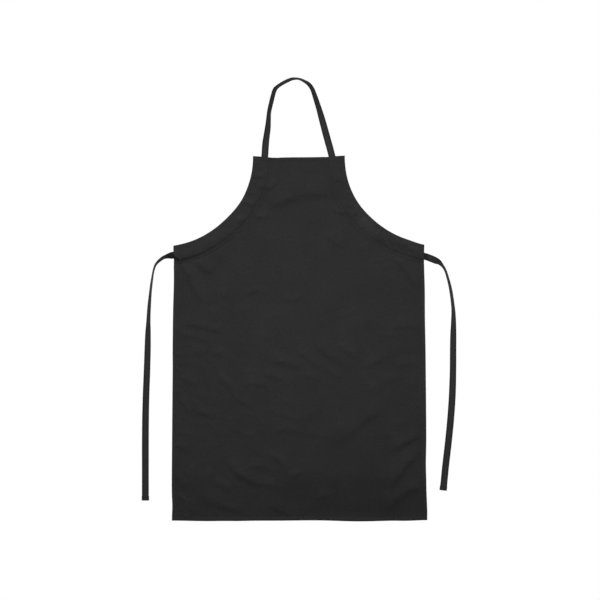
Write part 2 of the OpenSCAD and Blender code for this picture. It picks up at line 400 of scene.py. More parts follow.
# %% Creases listed one by one
# Each row is the line of shadow at the foot of a ridge, from (x0, z0) to (x1, z1), left to
# right. bow bends its middle downwards, height is how far the ridge stands out, and above and
# below are its widths on its upper, gentle side and its lower, steep side.
#     x0     z0     x1     z1   bow  height above below
CREASES = [
    (-86, -352, 112, -322, -13, 4.4, 36, 17), (-78, -353, -8, -331, -3, 1.5, 20, 11),
    (-92, -303, -58, -276, 6, 2.8, 9, 5), (-5, -262, 70, -246, -4, 0.8, 14, 8),
    (-128, -382, -76, -375, 2, 2.2, 11, 6), (-286, -498, -240, -536, 5, 3.8, 15, 9),
    (-326, -502, -256, -624, 8, 4.2, 17, 11), (-326, -514, -296, -552, 0, 2.0, 10, 10),
    (-216, -574, -211, -605, 0, 1.3, 7, 6), (-249, -626, -243, -666, 0, 1.2, 8, 6),
    (-153, -601, -103, -580, -3, 1.9, 10, 6), (-112, -577, -97, -593, 0, 1.3, 7, 5),
    (-183, -647, -127, -627, -2, 1.3, 10, 6), (-338, -668, -212, -693, 2, 2.8, 18, 8),
    (-327, -705, -250, -725, -3, 1.8, 12, 7), (-300, -746, -247, -752, 2, 1.4, 10, 6),
    (-100, -557, -52, -553, 0, 1.0, 8, 5), (-52, -611, 20, -602, 0, 1.6, 11, 6),
    (-96, -663, -48, -650, -2, 1.4, 9, 6), (-8, -700, 4, -745, 0, 1.2, 9, 7),
    (-58, -726, 6, -768, 0, 1.0, 14, 9), (-88, -774, 12, -801, -3, 2.7, 15, 8),
    (-106, -812, -30, -834, -3, 2.1, 12, 7), (-151, -838, -94, -851, -5, 2.2, 11, 6),
    (-118, -841, -105, -849, 0, 1.5, 7, 5), (-98, -838, -79, -866, 0, 1.5, 8, 5),
    (-229, -808, -163, -878, 0, 2.5, 12, 6), (-330, -820, -278, -843, 2, 2.4, 11, 6),
    (-190, -864, -129, -904, 3, 2.6, 11, 6), (-334, -876, -299, -923, 0, 2.5, 12, 8),
    (-283, -910, -227, -935, 2, 2.4, 11, 6), (-136, -912, -133, -953, 0, 1.2, 6, 5),
    (-50, -926, 10, -941, -3, 2.0, 12, 6), (-78, -973, 12, -973, -5, 2.1, 14, 6),
    (-343, -974, -290, -978, 0, 1.7, 14, 6), (-341, -1003, -309, -1017, 0, 2.4, 12, 5),
    (-153, -976, -125, -989, 0, 1.7, 9, 6), (-93, -1032, -31, -1091, -12, 3.0, 14, 8),
    (-153, -1071, -60, -1080, -6, 2.5, 12, 6), (-202, -1052, -118, -1113, 8, 3.8, 17, 8),
    (-140, -1107, -58, -1125, 2, 2.4, 12, 7), (-27, -1099, 12, -1081, -2, 3.0, 10, 6),
    (-241, -1107, -182, -1137, 2, 2.7, 12, 7), (-345, -1078, -309, -1127, 4, 2.8, 12, 7),
    (-286, -1138, -138, -1192, 12, 2.7, 17, 9), (-95, -1168, -12, -1206, 2, 2.8, 14, 7),
    (-331, -1150, -313, -1162, 0, 1.5, 8, 5), (-269, -1086, -239, -1096, 0, 1.5, 9, 6),
    (87, -358, 135, -375, 2, 2.2, 14, 8), (75, -423, 121, -465, 3, 1.9, 14, 7),
    (164, -458, 181, -479, 0, 1.5, 9, 6), (258, -484, 330, -584, -4, 3.8, 15, 8),
    (311, -505, 331, -558, -2, 1.6, 9, 6), (210, -499, 237, -531, 0, 0.8, 9, 7),
    (251, -680, 336, -688, -2, 1.9, 18, 9), (36, -723, 124, -794, 2, 3.2, 15, 9),
    (-4, -745, 68, -802, 3, 2.9, 14, 9), (101, -729, 166, -769, 3, 2.8, 12, 8),
    (71, -796, 113, -831, 0, 2.0, 11, 7), (3, -812, 63, -833, 0, 1.7, 11, 7),
    (171, -784, 208, -790, 2, 1.5, 10, 6), (196, -791, 248, -746, 6, 2.1, 14, 8),
    (243, -752, 313, -749, 0, 1.5, 10, 6), (261, -791, 333, -786, -3, 2.2, 14, 8),
    (231, -839, 287, -820, 0, 1.7, 12, 7), (183, -852, 221, -863, 0, 1.7, 12, 8),
    (287, -843, 327, -838, 0, 1.5, 9, 6), (94, -1013, 246, -895, -2, 3.1, 27, 14),
    (168, -950, 222, -918, 0, 1.4, 12, 8), (254, -1029, 341, -979, -4, 4.2, 19, 8),
    (248, -1132, 335, -1022, -2, 6.2, 21, 10), (234, -1190, 343, -1117, -6, 7.0, 23, 11),
    (96, -952, 121, -963, 0, 1.0, 9, 6), (225, -986, 271, -978, 0, 1.0, 10, 7),
    (48, -1156, 97, -1150, -2, 1.5, 12, 8), (16, -941, 50, -902, 3, 1.7, 10, 6),
    (10, -972, 100, -994, -3, 1.6, 12, 6),
]
# The same for creases that only the front layer of a casing has, over the strap. A row that
# runs from right to left has its steep side above.
CASING_CREASES = [
    (-127, -277, -88, -270, -4, 2.9, 9, 4.5), (-116, -300, -90, -296, 0, 1.2, 8, 5),
    (-145, -311, -134, -319, 0, 1.4, 6, 4), (-158, -342, -124, -355, -5, 2.3, 8, 4.5),
    (-158, -360, -122, -358, 0, 1.2, 7, 4), (-184, -388, -147, -411, -6, 3.2, 11, 5),
    (-260, -434, -254, -460, 0, 1.7, 11, 6), (-244, -458, -231, -466, 0, 1.2, 6, 4),
    (-247, -448, -193, -418, 0, 1.5, 12, 8), (86, -285, 122, -284, -5, 2.3, 9, 5),
    (145, -340, 157, -384, 0, 2.2, 9, 4.5), (160, -346, 146, -374, 0, 1.6, 6, 3.5),
    (247, -470, 270, -477, 0, 1.8, 7, 4.5), (203, -420, 224, -456, 0, 2.8, 6, 3.5),
    (216, -419, 240, -459, 0, 2.2, 6, 3.5), (236, -424, 260, -462, 0, 3.2, 6, 3.5),
    (250, -428, 270, -460, 0, 2.2, 6, 3.5), (264, -440, 284, -470, 0, 3.2, 6, 3.5),
    (280, -450, 322, -486, 0, 3.0, 7, 4), (298, -470, 342, -492, 0, 2.2, 7, 4.5),
]

print(len(CREASES) + len(CASING_CREASES), "creases placed by hand")

# %% [markdown]
# A crease in hanging cloth isn't round. Its upper side rises gently, and below its crest the
# cloth turns back steeply, which is where the shadow lies. So a row of the table becomes a
# ridge with two different sides.

# %% From a row to a ridge


def creases(x, z, table):
    """Sum of the ridges in a table. Across a ridge its height falls off as a bell with a
    different width on each side, and along it the height fades out over a third at each end.
    The bell is steepest at 0.7 of its width, so the crest stands that far above the shadow."""
    total = np.zeros_like(x)
    for x0, z0, x1, z1, bow, height, above, below in table:
        dx, dz = x1 - x0, z1 - z0
        length = math.hypot(dx, dz)
        dx, dz = dx / length, dz / length
        reach = 3.5 * above + abs(bow)
        near = ((x - x0) * dx + (z - z0) * dz > -0.1 * length)
        near &= ((x - x1) * dx + (z - z1) * dz < 0.1 * length)
        near &= np.abs((x - x0) * dz - (z - z0) * dx) < reach
        px, pz = x[near], z[near]
        along = ((px - x0) * dx + (pz - z0) * dz) / length
        across = (px - x0) * dz - (pz - z0) * dx - bow * 4 * along * (1 - along)
        from_crest = across + 0.7 * below
        width = np.where(from_crest > 0, below, 1.3 * above)
        fade = smooth(along, -0.05, 0.3) * smooth(1 - along, -0.05, 0.3)
        total[near] += height * fade * bell(from_crest, width)
    return total


first_crest = creases(np.zeros(9), np.linspace(-380, -300, 9), CREASES[:1])
print("height down across the first crease:", first_crest[::-1].round(1))

# %% [markdown]
# Between the large creases real cloth is never flat. Folding and washing leave a net of soft
# crumples, whose crests meet like the veins of a leaf. A bump texture could hint at them, but
# the seams have to follow them too, so they belong in the height field. Such a net is where
# smooth random noise crosses zero, so the height is largest there. It is stretched along the
# way the cloth hangs: down towards the middle from both sides. Everything random comes from one
# seeded generator, so the cloth is the same on every run.

# %% A net of crumples
chance = np.random.default_rng(7)
LATTICE = 64
SLOPES = chance.normal(0, 1, (LATTICE, LATTICE, 2))
WIDE_CELL, NARROW_CELL = 34, 15


def uneven(x, z):
    """Gradient noise from about -1 to 1 with lumps of size 1: each lattice point has a random
    slope, and a place mixes the four slopes around it with a soft step."""
    i, k = np.floor(x).astype(int), np.floor(z).astype(int)
    fx, fz = x - i, z - k
    sx, sz = smooth(fx), smooth(fz)

    def corner(a, b):
        """What one of the four lattice points around adds."""
        slope = SLOPES[(i + a) % LATTICE, (k + b) % LATTICE]
        return slope[..., 0] * (fx - a) + slope[..., 1] * (fz - b)

    upper = corner(0, 1) * (1 - sx) + corner(1, 1) * sx
    lower = corner(0, 0) * (1 - sx) + corner(1, 0) * sx
    return 1.2 * (lower * (1 - sz) + upper * sz)


def net(x, z, size):
    """1 on the crests of a crumpled net whose cells are about size wide, 0 between them."""
    return smooth(1 - np.abs(uneven(x / size, z / size)) / 0.45)


def crumple(x, z):
    """Height of the crumples: two nets of different cell sizes, stronger in patches. The sums
    inside net() and uneven() only take another part of the noise."""
    down = 0.45 * smooth(60 - x, -120, 120) - 0.3 * smooth(x, 60, 330)
    u, v = x * 0.5 - z * 0.5 * down, z + x * down
    patch = smooth(uneven(x / 130 + 7.3, z / 110 + 3.1), -0.5, 0.7)
    low_left = smooth(-z, 480, 900) * smooth(220 - x, 0, 300)
    strength = (0.25 + 0.75 * patch) * (0.5 + 0.6 * low_left)
    wide, narrow = net(u + 900, v, WIDE_CELL), net(u * 1.3 + 400, v + 500, NARROW_CELL)
    return strength * (0.55 * wide + 0.25 * narrow)


print(f"nets of crumples with cells of about {WIDE_CELL} and {NARROW_CELL} mm")

# %% [markdown]
# Short ridges at random places break up the net. They are rows of the same table as the listed
# creases, so one function makes both. The casings get their own, which cross the tunnel.
# Long, faint lines stay where the apron was once folded and pressed flat.

# %% Short creases at random places
SHORT_CREASES, SHORT_CASING_CREASES = 420, 150


def scattered_creases(count):
    """Random short creases. Half of them lie in the lower left, where the cloth is most
    crumpled."""
    x, z = chance.uniform(-345, 345, count), chance.uniform(HEM_Z + 5, TOP_Z - 5, count)
    low_left = np.arange(count) % 2 == 0
    x[low_left], z[low_left] = x[low_left] * 0.5 - 170, z[low_left] * 0.55 - 540
    slant = -0.45 + 0.95 * smooth(x, 60, 330) * smooth(-z, 780, 950)
    turn = slant + chance.normal(0, 0.38, count)
    half = chance.uniform(9, 34, count)
    dx, dz = half * np.cos(turn), half * np.sin(turn)
    bow = chance.normal(0, 2.2, count)
    height = 0.4 * np.abs(chance.normal(0, 1, count)) * (0.5 + 0.5 * smooth(-z, 420, 700))
    above, below = chance.uniform(4, 9, count), chance.uniform(2.5, 5, count)
    return np.stack([x - dx, z - dz, x + dx, z + dz, bow, height, above, below], axis=-1)


def casing_creases(count):
    """Random short creases that cross the casings, where the cloth is eased over the strap."""
    t, depth = chance.uniform(0.04, 0.96, count), chance.uniform(8, 46, count)
    side = np.where(chance.uniform(0, 1, count) < 0.5, -1, 1)
    place, across = arm_point(t), arm_inward(t)
    x, z = (place + across * depth[:, None]).T
    turn = np.arctan2(across[:, 1], across[:, 0]) + chance.normal(0, 0.6, count)
    half = chance.uniform(5, 13, count)
    dx, dz = side * half * np.cos(turn), half * np.sin(turn)
    flip = np.where(dx < 0, -1, 1)
    dx, dz = dx * flip, dz * flip
    height = 0.62 * np.abs(chance.normal(0, 1, count))
    above, below = chance.uniform(3, 6, count), chance.uniform(2.2, 4, count)
    bow = chance.normal(0, 1.5, count)
    return np.stack([side * x - dx, z - dz, side * x + dx, z + dz, bow, height, above, below],
                    axis=-1)


SMALL_CREASES = scattered_creases(SHORT_CREASES)
SMALL_CASING_CREASES = casing_creases(SHORT_CASING_CREASES)
PRESSED = [(-76, -560, -74, -1190, 0, 0.5, 5, 4), (146, -470, 147, -1200, 0, 0.6, 5, 4),
           (-340, -838, 340, -842, 3, 0.3, 6, 4)]
print(len(SMALL_CREASES) + len(SMALL_CASING_CREASES), "short creases at random places")

# %% [markdown]
# Last come the slow shapes of the whole cloth. They are sums of sines and soft steps, because
# each of them has a cause of its own: the skirt sways, it swells forward below the waist and
# leans back above the hem, and the bib leans a little forward.

# %% Slow waves


def ramp(x, low, high):
    """0 below low, and beyond high a straight rise of slope 1, with a soft bend between."""
    u = np.clip((x - low) / (high - low), 0, 1)
    return (high - low) * (u**3 - u**4 / 2) + np.maximum(x - high, 0)


def waves(x, z):
    """Two sines across the skirt, which grow from the waist to the hem, a belly, a lean back
    just above the hem, most of it to the right of the middle, and the bib's lean forward."""
    drop = smooth(-z, 450, 1215)
    sway = 2.2 * np.cos(x / 62 + 0.6 + z / 900) + 1.4 * np.cos(x / 34 - 1.1 - z / 420)
    middle = smooth(x, -130, 10) * smooth(335 - x, 0, 90)
    steep = ramp(-z, 1070, 1115) - ramp(-z, 1186, 1206)
    lean = -steep * (0.1 + 0.1 * middle) - 0.03 * ramp(-z, 880, 1000) * smooth(x, -60, 200)
    belly = 9 * smooth(-z, 480, 1010)
    bib = 4 * smooth(z, -345, -215) * np.exp(-((x / 95) ** 4))
    return drop * sway + belly + lean + bib


across_hem = waves(np.linspace(-HEM_HALF, HEM_HALF, 200), np.full(200, HEM_Z))
print(f"at the hem the slow waves stand {across_hem.min():.1f} to {across_hem.max():.1f} mm out")

# %% [markdown]
# The four mouths of the casings hold the cloth: there the strap lies against it, so the field
# fades to nothing. No crease on real cloth is a straight line either, so every place is moved
# about a little before the creases are looked up.

# %% The whole height field
MOUTHS = [(-95, TOP_Z), (92, TOP_Z), (-WAIST_HALF, -484), (WAIST_HALF, -488)]
HELD_REACH = 45.0


def held(x, z):
    """0 at each mouth, rising to nearly 1 about 80 mm away: the product of one minus a bell
    for each mouth."""
    free = np.ones_like(x)
    for mx, mz in MOUTHS:
        free *= 1 - np.exp(-((x - mx) ** 2 + (z - mz) ** 2) / HELD_REACH**2)
    return free


def wandering(x, z):
    """The same places moved about by a few millimetres, with sines of three sizes."""
    dx = 3.5 * np.sin(z / 17 + x / 43) + 2 * np.sin(x / 11 - z / 23) + np.sin(z / 5.3 + x / 7)
    dz = 3 * np.sin(x / 19 + z / 37 + 1) + 1.6 * np.sin(z / 9 + x / 13) + np.sin(x / 4.7 - z / 8)
    return x + dx, z + dz


def ridges(x, z, large, small):
    """Ridges of a listed table, which wander less, and of a random table."""
    wx, wz = wandering(x, z)
    return creases(0.6 * x + 0.4 * wx, 0.6 * z + 0.4 * wz, large) + creases(wx, wz, small)


def drape(x, z):
    """How far the cloth stands forward of its flat plane, in millimetres."""
    x, z = np.asarray(x, float), np.asarray(z, float)
    folds = ridges(x, z, CREASES, SMALL_CREASES) + crumple(*wandering(x, z))
    folds = folds + creases(x, z, PRESSED)
    return (waves(x, z) + folds) * held(x, z)


def eased(x, z, depth):
    """Creases in the front layer of a casing alone, in millimetres: the strap and the facing
    behind it lie smooth. They fade out at the armhole and at the first row of stitches."""
    folds = ridges(x, z, CASING_CREASES, SMALL_CASING_CREASES) * held(x, z)
    return folds * smooth(depth, 0, 6) * smooth(CASING_ROWS[0] - depth, -2, 16)


sample = drape(*np.meshgrid(np.linspace(-340, 340, 60), np.linspace(HEM_Z, TOP_Z, 90)))
print(f"the cloth stands {sample.min():.1f} to {sample.max():.1f} mm forward")

# %% [markdown]
# A casing has relief of its own. On the front the cloth swells a little over the strap, the two
# rows of stitches sink into it, and short puckers cross the tunnel at a slant, because the
# facing was eased round the curve. The swell opens towards the waist mouths. A normal map would
# look flat from the side, so all of it is moved points. Where cloth is folded at an edge, its
# front rolls back in a small quarter circle.

# %% Relief of the casing on the front
ROW_SINK = 0.9
ROLL = 1.5


def rolled(distance_in, drop=0.75):
    """How far a folded edge falls back, from its distance in: a quarter circle."""
    u = 1 - np.clip(distance_in / ROLL, 0, 1)
    return drop * (1 - np.sqrt(1 - u * u))


def groove(distance_in, width=1.1):
    """1 on a row of stitches, falling off as a narrow bell."""
    return bell(distance_in, width)


def row_sink(along, depth, open_mouth):
    """How deep the two rows of stitches sink into the cloth: more where the casing stands
    open at its mouth, and unevenly along the rows."""
    first_row, second_row = CASING_ROWS
    sunk = ROW_SINK * (groove(first_row - depth, 1.5) + 1.5 * groove(second_row - depth, 1.8))
    sunk = sunk * (0.75 + 0.25 * np.sin(along / 13 + 2 * np.sin(along / 29)))
    return sunk * (0.55 + 0.45 * smooth(along, 130, 300) * smooth(open_mouth, 1.0, 3.0))


def casing_relief(along, depth, open_mouth):
    """Forward height over the casing: the swell, the mouth that stands open by open_mouth, the
    puckers and the beaded rope between the rows, less the sunk rows and the rolled edges."""
    first_row, second_row = CASING_ROWS
    to_row = first_row - depth
    swell = smooth(depth, 2, 26) * smooth(to_row, 0.3, 7)
    to_mouth = smooth(along, ARM_LENGTH - 40 * open_mouth, ARM_LENGTH - 10)
    steep = smooth(depth, 2, 36) * smooth(to_row, 0.2, 6)
    slant = np.sin((along + 0.8 * depth) / 3.6 + 2 * np.sin(along / 31)) * np.sin(along / 19)
    puckers = 0.24 * slant * smooth(depth, 4, 14) * smooth(to_row, -4, 8)
    beads = np.sin(along / 1.55 + 1.5 * np.sin(along / 23)) * (0.6 + 0.4 * np.sin(along / 37))
    rope = 0.2 * beads * groove(depth - (first_row + second_row) / 2, 6)
    edges = rolled(depth) + rolled(along) + rolled(ARM_LENGTH - along)
    raised = 1.1 * swell + open_mouth * to_mouth * steep + puckers + rope
    return raised - row_sink(along, depth, open_mouth) - edges


sample = casing_relief(*np.meshgrid(np.arange(0, ARM_LENGTH), np.arange(CASING_DEPTH)), 0)
print(f"relief of a closed casing {sample.min():.1f} to {sample.max():.1f} mm")

# %% [markdown]
# The panel's grid follows its edges. One even grid cut to shape would leave a ragged armhole,
# so in the bib each row of points starts on the left armhole, runs in across the casing,
# crosses the bib and runs out across the other casing. Below the casings the rows go from side
# to side. Points crowd together at the stitch rows and at the folded edges, where the relief is
# narrow.

# %% The panel's grid
DEPTHS = np.array([0, 0.4, 1, 2.5, 6, 10, 14.5, 19, 23.5, 28, 32.5, 36.5, 39.5, 41.7, 43, 44,
                   44.9, 46.2, 48, 49.8, 51, 52, 52.8, 53.6, CASING_DEPTH])
NEAR_SIDE = np.array([0, 0.4, 1, 2, 4.5, 6.3, 7.2, 8, 8.8, 10, 13, 17])
NEAR_TOP = np.array([0, 0.4, 1, 2.5, 5, 8, 9.9, 11, 12, 14])
NEAR_MOUTH = np.array([3, 1.5, 0.7, 0.3, 0])
NEAR_BOTTOM = np.array([0, 0.4, 1, 2.5, 5, 7.5, 9, 10, 11, 12.5, 15.5])
BIB_ROWS, SKIRT_ROWS, MIDDLE_COLUMNS = 104, 156, 124
SKIRT_TOP_Z = WAIST_Z - CASING_DEPTH


def half_width(z):
    """Half the panel's width below the waist: it widens evenly to the hem."""
    share = (WAIST_Z - z) / (WAIST_Z - HEM_Z)
    return WAIST_HALF + (HEM_HALF - WAIST_HALF) * share


near = NEAR_SIDE / (2 * half_width(SKIRT_TOP_Z))
even = np.linspace(near[-1], 1 - near[-1], MIDDLE_COLUMNS)
fractions = np.concatenate([near[:-1], even, 1 - near[::-1][1:]])

arm_along = np.concatenate([NEAR_TOP, np.linspace(18, ARM_LENGTH - 6, BIB_ROWS),
                            ARM_LENGTH - NEAR_MOUTH])
right_casing = casing_place(arm_along[:, None], np.repeat(DEPTHS[None, :], len(arm_along), 0))
left_casing = right_casing * np.array([-1, 1])
inner = right_casing[:, -1]
middle_x = inner[:, :1] * (2 * fractions[None, 1:-1] - 1)
middle_z = np.repeat(inner[:, 1:], len(fractions) - 2, axis=1)
middle = np.stack([middle_x, middle_z], axis=-1)
bib_grid = np.concatenate([left_casing, middle, right_casing[:, ::-1]], axis=1)

skirt_z = np.concatenate([np.linspace(SKIRT_TOP_Z, HEM_Z + 19, SKIRT_ROWS)[1:],
                          HEM_Z + NEAR_BOTTOM[::-1]])
skirt_x = half_width(skirt_z)[:, None] * (2 * fractions[None, :] - 1)
skirt_grid = np.stack([skirt_x, np.repeat(skirt_z[:, None], len(fractions), 1)], axis=-1)
print("bib rows and columns:", bib_grid.shape[:2], " skirt:", skirt_grid.shape[:2])

# %% [markdown]
# The bib's last row of points is also the skirt's first. Two meshes with a seam between them
# would show a line, so the grids are joined by giving that row the same point numbers in both.

# %% Joining the two grids
n_deep = len(DEPTHS)
bib_index = counted(*bib_grid.shape[:2])
shared_row = bib_index[-1, n_deep - 1:n_deep - 1 + len(fractions)]
skirt_index = np.vstack([shared_row, counted(*skirt_grid.shape[:2], first=bib_index.size)])
panel_quads = np.concatenate([quads_of(bib_index), quads_of(skirt_index)])
panel_flat = np.concatenate([bib_grid.reshape(-1, 2), skirt_grid.reshape(-1, 2)])


def on_bib(values):
    """The bib's share of values for the panel's points, as rows and columns. It is a view, so
    what is added to it is added to the values."""
    return values[:bib_index.size].reshape(bib_index.shape)


def flat_area(points, quads):
    """Area of quads in the plane, from their diagonals."""
    p = points[quads]
    across, down = p[:, 2] - p[:, 0], p[:, 3] - p[:, 1]
    return np.abs(across[:, 0] * down[:, 1] - across[:, 1] * down[:, 0]).sum() / 2


panel_area = flat_area(panel_flat, panel_quads)
print(f"{len(panel_quads)} quads, {panel_area / 1e6:.3f} square metres of cloth")

# %% [markdown]
# The edges are not quite straight either: the bib's top edge sags between the straps, the
# bottom hem hangs in shallow scallops, the armholes are uneven, the right one a little higher,
# and the sides waver. These are moves within the cloth's plane, so one function, placed(),
# makes them for every piece.

# %% Sags, scallops and wavering sides
TOP_DIP = 4.0


def sagged(x, z):
    """z with the sag of the bib's top edge, the scallops of the hem and the uneven armholes
    added, each faded out away from its edge."""
    dip = -TOP_DIP * (1 - np.clip(x / BIB_HALF, -1, 1) ** 2) + 0.9 * smooth(x, -50, -10)
    dip += 1.4 * smooth(x, 66, 104) + 0.9 * smooth(-x, 84, 104)
    dip -= 1.3 * bell(x + 64, 13)
    low = 1.2 * np.cos((x + 270) / 72) + 0.5 * np.cos(x / 31 + 0.8)
    low += 2.0 * smooth(x, -225, -150) + 1.8 * smooth(x, -20, 230)
    scallops = low * smooth(-z, -HEM_Z - 160, -HEM_Z) * smooth(350 - np.abs(x), 0, 70)
    near_waist = smooth(z, WAIST_Z - 160, WAIST_Z - 40)
    arms = 2.6 * smooth(x, 240, 335) + 2.2 * smooth(x, 150, 205) * smooth(340 - x, 0, 40)
    arms += 1.6 * bell(x + 190, 30) - 2.0 * bell(x + 280, 45)
    return z + dip * smooth(z, TOP_Z - 60, TOP_Z) - scallops + arms * near_waist


def swung(x, z):
    """x with the slight waver of the side edges added, faded out towards the middle."""
    left = 1.7 * bell(z + 555, 60) + 0.7 * smooth(-z, 740, 800)
    left += 1.3 * bell(z + 1175, 25) - 0.8 * smooth(z, -500, -470)
    right = -1.9 * bell(z + 510, 55) - 0.9 * bell(z + 650, 60)
    right += 2.6 * smooth(-z, 1120, 1205) - 1.5 * bell(z + 1060, 45)
    bib = -1.2 * smooth(-x, 40, 110) * smooth(z, -340, -290)
    return x + left * smooth(-x, 200, 350) + right * smooth(x, 200, 350) + bib


def placed(x, y, z):
    """Points of the hung cloth, from their places on the flat cloth and their depth y."""
    return np.stack([swung(x, z), y, sagged(x, z)], axis=-1)


top_x = np.linspace(-BIB_HALF, BIB_HALF, 99)
top_sag = (TOP_Z - sagged(top_x, np.full(99, TOP_Z))).max()
print(f"the bib's top edge sags by {top_sag:.1f} mm")

# %% [markdown]
# Now the front of the panel: the height field, the hems and the casings. The hems show on the
# front as a narrow raised edge with a row of stitches. At the waist the casings stand open over
# the strap, the left one wide, which is the dark hollow that shows there. At the left mouth the
# cloth, pushed forward by the strap, also pulls back from the edge and leaves a small notch.

# %% The front of the panel
# How far the waist mouths stand open, and how far the notch goes in, at which depth from the
# armhole it lies, its half width, and how far from the mouth it starts.
OPEN_LEFT, OPEN_RIGHT = 3.2, 1.3
NOTCH, NOTCH_DEPTH, NOTCH_WIDTH, NOTCH_LENGTH = 16, 38, 7, 40


def hem_relief(x, z):
    """The hems: cloth lifted a little by the layers behind it, a sunk row of stitches with
    fine puckers, and a rolled edge, along the sides, the bottom and the bib's top."""
    side = half_width(z) - np.abs(x)
    below_casing = smooth(-z, -SKIRT_TOP_Z - 1, -SKIRT_TOP_Z + 3)
    between_casings = smooth(BIB_HALF - CASING_DEPTH - np.abs(x), -6, 4)
    total = np.zeros_like(x)
    for inside, width, along, where in ((side, SIDE_HEM, z, below_casing),
                                        (z - HEM_Z, BOTTOM_HEM, x, 1.0),
                                        (TOP_Z - z, TOP_HEM, x, between_casings)):
        lift = 0.3 * smooth(width - inside, -1, 1.5)
        pucker = 0.18 * np.sin(along / 1.9 + np.sin(along / 17)) * groove(inside - width, 5)
        total += (lift + pucker - 0.4 * groove(inside - width) - rolled(inside)) * where
    return total


panel_x, panel_z = panel_flat[:, 0], panel_flat[:, 1]
panel_y = -CLOTH - drape(panel_x, panel_z) - hem_relief(panel_x, panel_z)
left_y, right_y = on_bib(panel_y)[:, :n_deep], on_bib(panel_y)[:, -n_deep:]
left_y -= casing_relief(arm_along[:, None], DEPTHS[None, :], OPEN_LEFT)
right_y -= casing_relief(arm_along[:, None], DEPTHS[None, ::-1], OPEN_RIGHT)
left_y -= eased(*np.moveaxis(left_casing, -1, 0), DEPTHS[None, :])
right_y -= eased(*np.moveaxis(right_casing[:, ::-1], -1, 0), DEPTHS[None, ::-1])

# The notch shifts the left casing's points on the flat cloth, panel_flat, after their height
# is known, so the weave and the wear shift with them.
notch = NOTCH * bell(DEPTHS - NOTCH_DEPTH, NOTCH_WIDTH)
to_mouth = smooth(arm_along, ARM_LENGTH - NOTCH_LENGTH, ARM_LENGTH)
on_bib(panel_x)[:, :n_deep] += notch[None, :] * to_mouth[:, None] ** 2
print(f"front {panel_y.min():.1f} to {panel_y.max():.1f} mm")

# %% [markdown]
# The back is the front moved back by the cloth's thickness. The finished panel stands for the
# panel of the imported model: it hides that node, moves with the apron's body and takes the slot
# of the twill.

# %% The panel
front = placed(panel_x, panel_y, panel_z)
back = front + np.array([0, CLOTH, 0])
panel = closed_cloth("apron_panel", front, back, panel_quads, panel_flat)
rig.replaces(panel, "front_panel")
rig.ride(panel, "apron")
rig.slot(panel, "twill")

# %% [markdown]
# A hem is the panel's own cloth turned twice to the back. Seen from behind it is a narrow flat
# strip with a soft fold on both sides. The panel's grid could be folded over for it, but a
# separate strip keeps both meshes simple. It follows the same height field, so it stays on the
# back of the panel.

# %% The hems
HEM_GAP = 0.05


def cloth_back(x, z):
    """y of the panel's back."""
    return -drape(x, z) - hem_relief(x, z)


def hem_strip(name, node, line, inward, width):
    """A strip along a flat line of points (x, z). Its profile runs inward from just outside
    the panel's edge, and both of its edges are rounded."""
    across = np.array([-0.35, -0.15, 0.3, 1, 2.5, width / 2, width - 2.5, width - 1,
                       width - 0.3, width])
    x = line[:, None, 0] + inward[0] * across
    z = line[:, None, 1] + inward[1] * across
    near_x = np.clip(np.abs(x), 0, half_width(z)) * np.sign(x)
    near_z = np.clip(z, HEM_Z, TOP_Z)
    from_edge = np.minimum(across - across[0], across[-1] - across)
    bulge = np.sqrt(1 - (1 - np.clip(from_edge / 1.2, 0, 1)) ** 2)
    y = cloth_back(near_x, near_z)
    thick = 2 * CLOTH * (0.25 + 0.75 * bulge)
    front = placed(x, y + HEM_GAP, z).reshape(-1, 3)
    back = placed(x, y + HEM_GAP + thick, z).reshape(-1, 3)
    uv = np.stack(np.broadcast_arrays(distances(line)[:, None], across), axis=-1).reshape(-1, 2)
    piece = closed_cloth(name, front, back, quads_of(counted(*x.shape)), uv)
    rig.replaces(piece, node)
    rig.ride(piece, "apron")
    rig.slot(piece, "twill")
    return piece


def level_line(z, x0, x1, pitch=4.0):
    """Points from x0 to x1 at one height."""
    x = np.linspace(x0, x1, int(abs(x1 - x0) / pitch) + 2)
    return np.stack([x, np.full_like(x, z)], axis=-1)


def side_line(sign, z0, z1, pitch=4.0):
    """Points down one side edge."""
    z = np.linspace(z0, z1, int(abs(z1 - z0) / pitch) + 2)
    return np.stack([sign * half_width(z), z], axis=-1)


TO_LEFT, TO_RIGHT, UP, DOWN = (-1.0, 0.0), (1.0, 0.0), (0.0, 1.0), (0.0, -1.0)
in_bib = BIB_HALF - CASING_DEPTH
above_hem = HEM_Z + BOTTOM_HEM
hems = [hem_strip("top_hem_fold", "top_hem",
                  level_line(TOP_Z, in_bib, -in_bib), DOWN, TOP_HEM),
        hem_strip("bottom_hem_fold", "bottom_hem",
                  level_line(HEM_Z, -HEM_HALF, HEM_HALF), UP, BOTTOM_HEM),
        hem_strip("left_side_hem_fold", "left_side_hem",
                  side_line(-1, SKIRT_TOP_Z, above_hem), TO_RIGHT, SIDE_HEM),
        hem_strip("right_side_hem_fold", "right_side_hem",
                  side_line(1, above_hem, SKIRT_TOP_Z), TO_LEFT, SIDE_HEM)]

# %% [markdown]
# The facings lie behind the panel along the armholes. Each touches it at the seam on the
# armhole and again at the two rows of stitches, and in between it stands off to leave room for
# the strap. It could be a copy of the panel's edge, but its inner edge is turned under and
# ends a little deeper, so it has its own grid on the same two measures.

# %% The facings
TUNNEL_ROOM = 3.0
FACING_WIDTH = 56
FACING_DEPTHS = np.concatenate([DEPTHS, [FACING_WIDTH - 0.5, FACING_WIDTH]])


def tunnel_gap(along, depth):
    """How far the facing stands behind the panel. Near the bib's top the tunnel is wider,
    because there the strap slants in."""
    wider = 7.5 * (1 - smooth(along, 5, 95))
    closing = smooth(CASING_ROWS[0] + wider - depth, -0.3, 1.8)
    return 0.5 + (TUNNEL_ROOM + 0.15 * wider) * smooth(depth, 1, 12) * closing


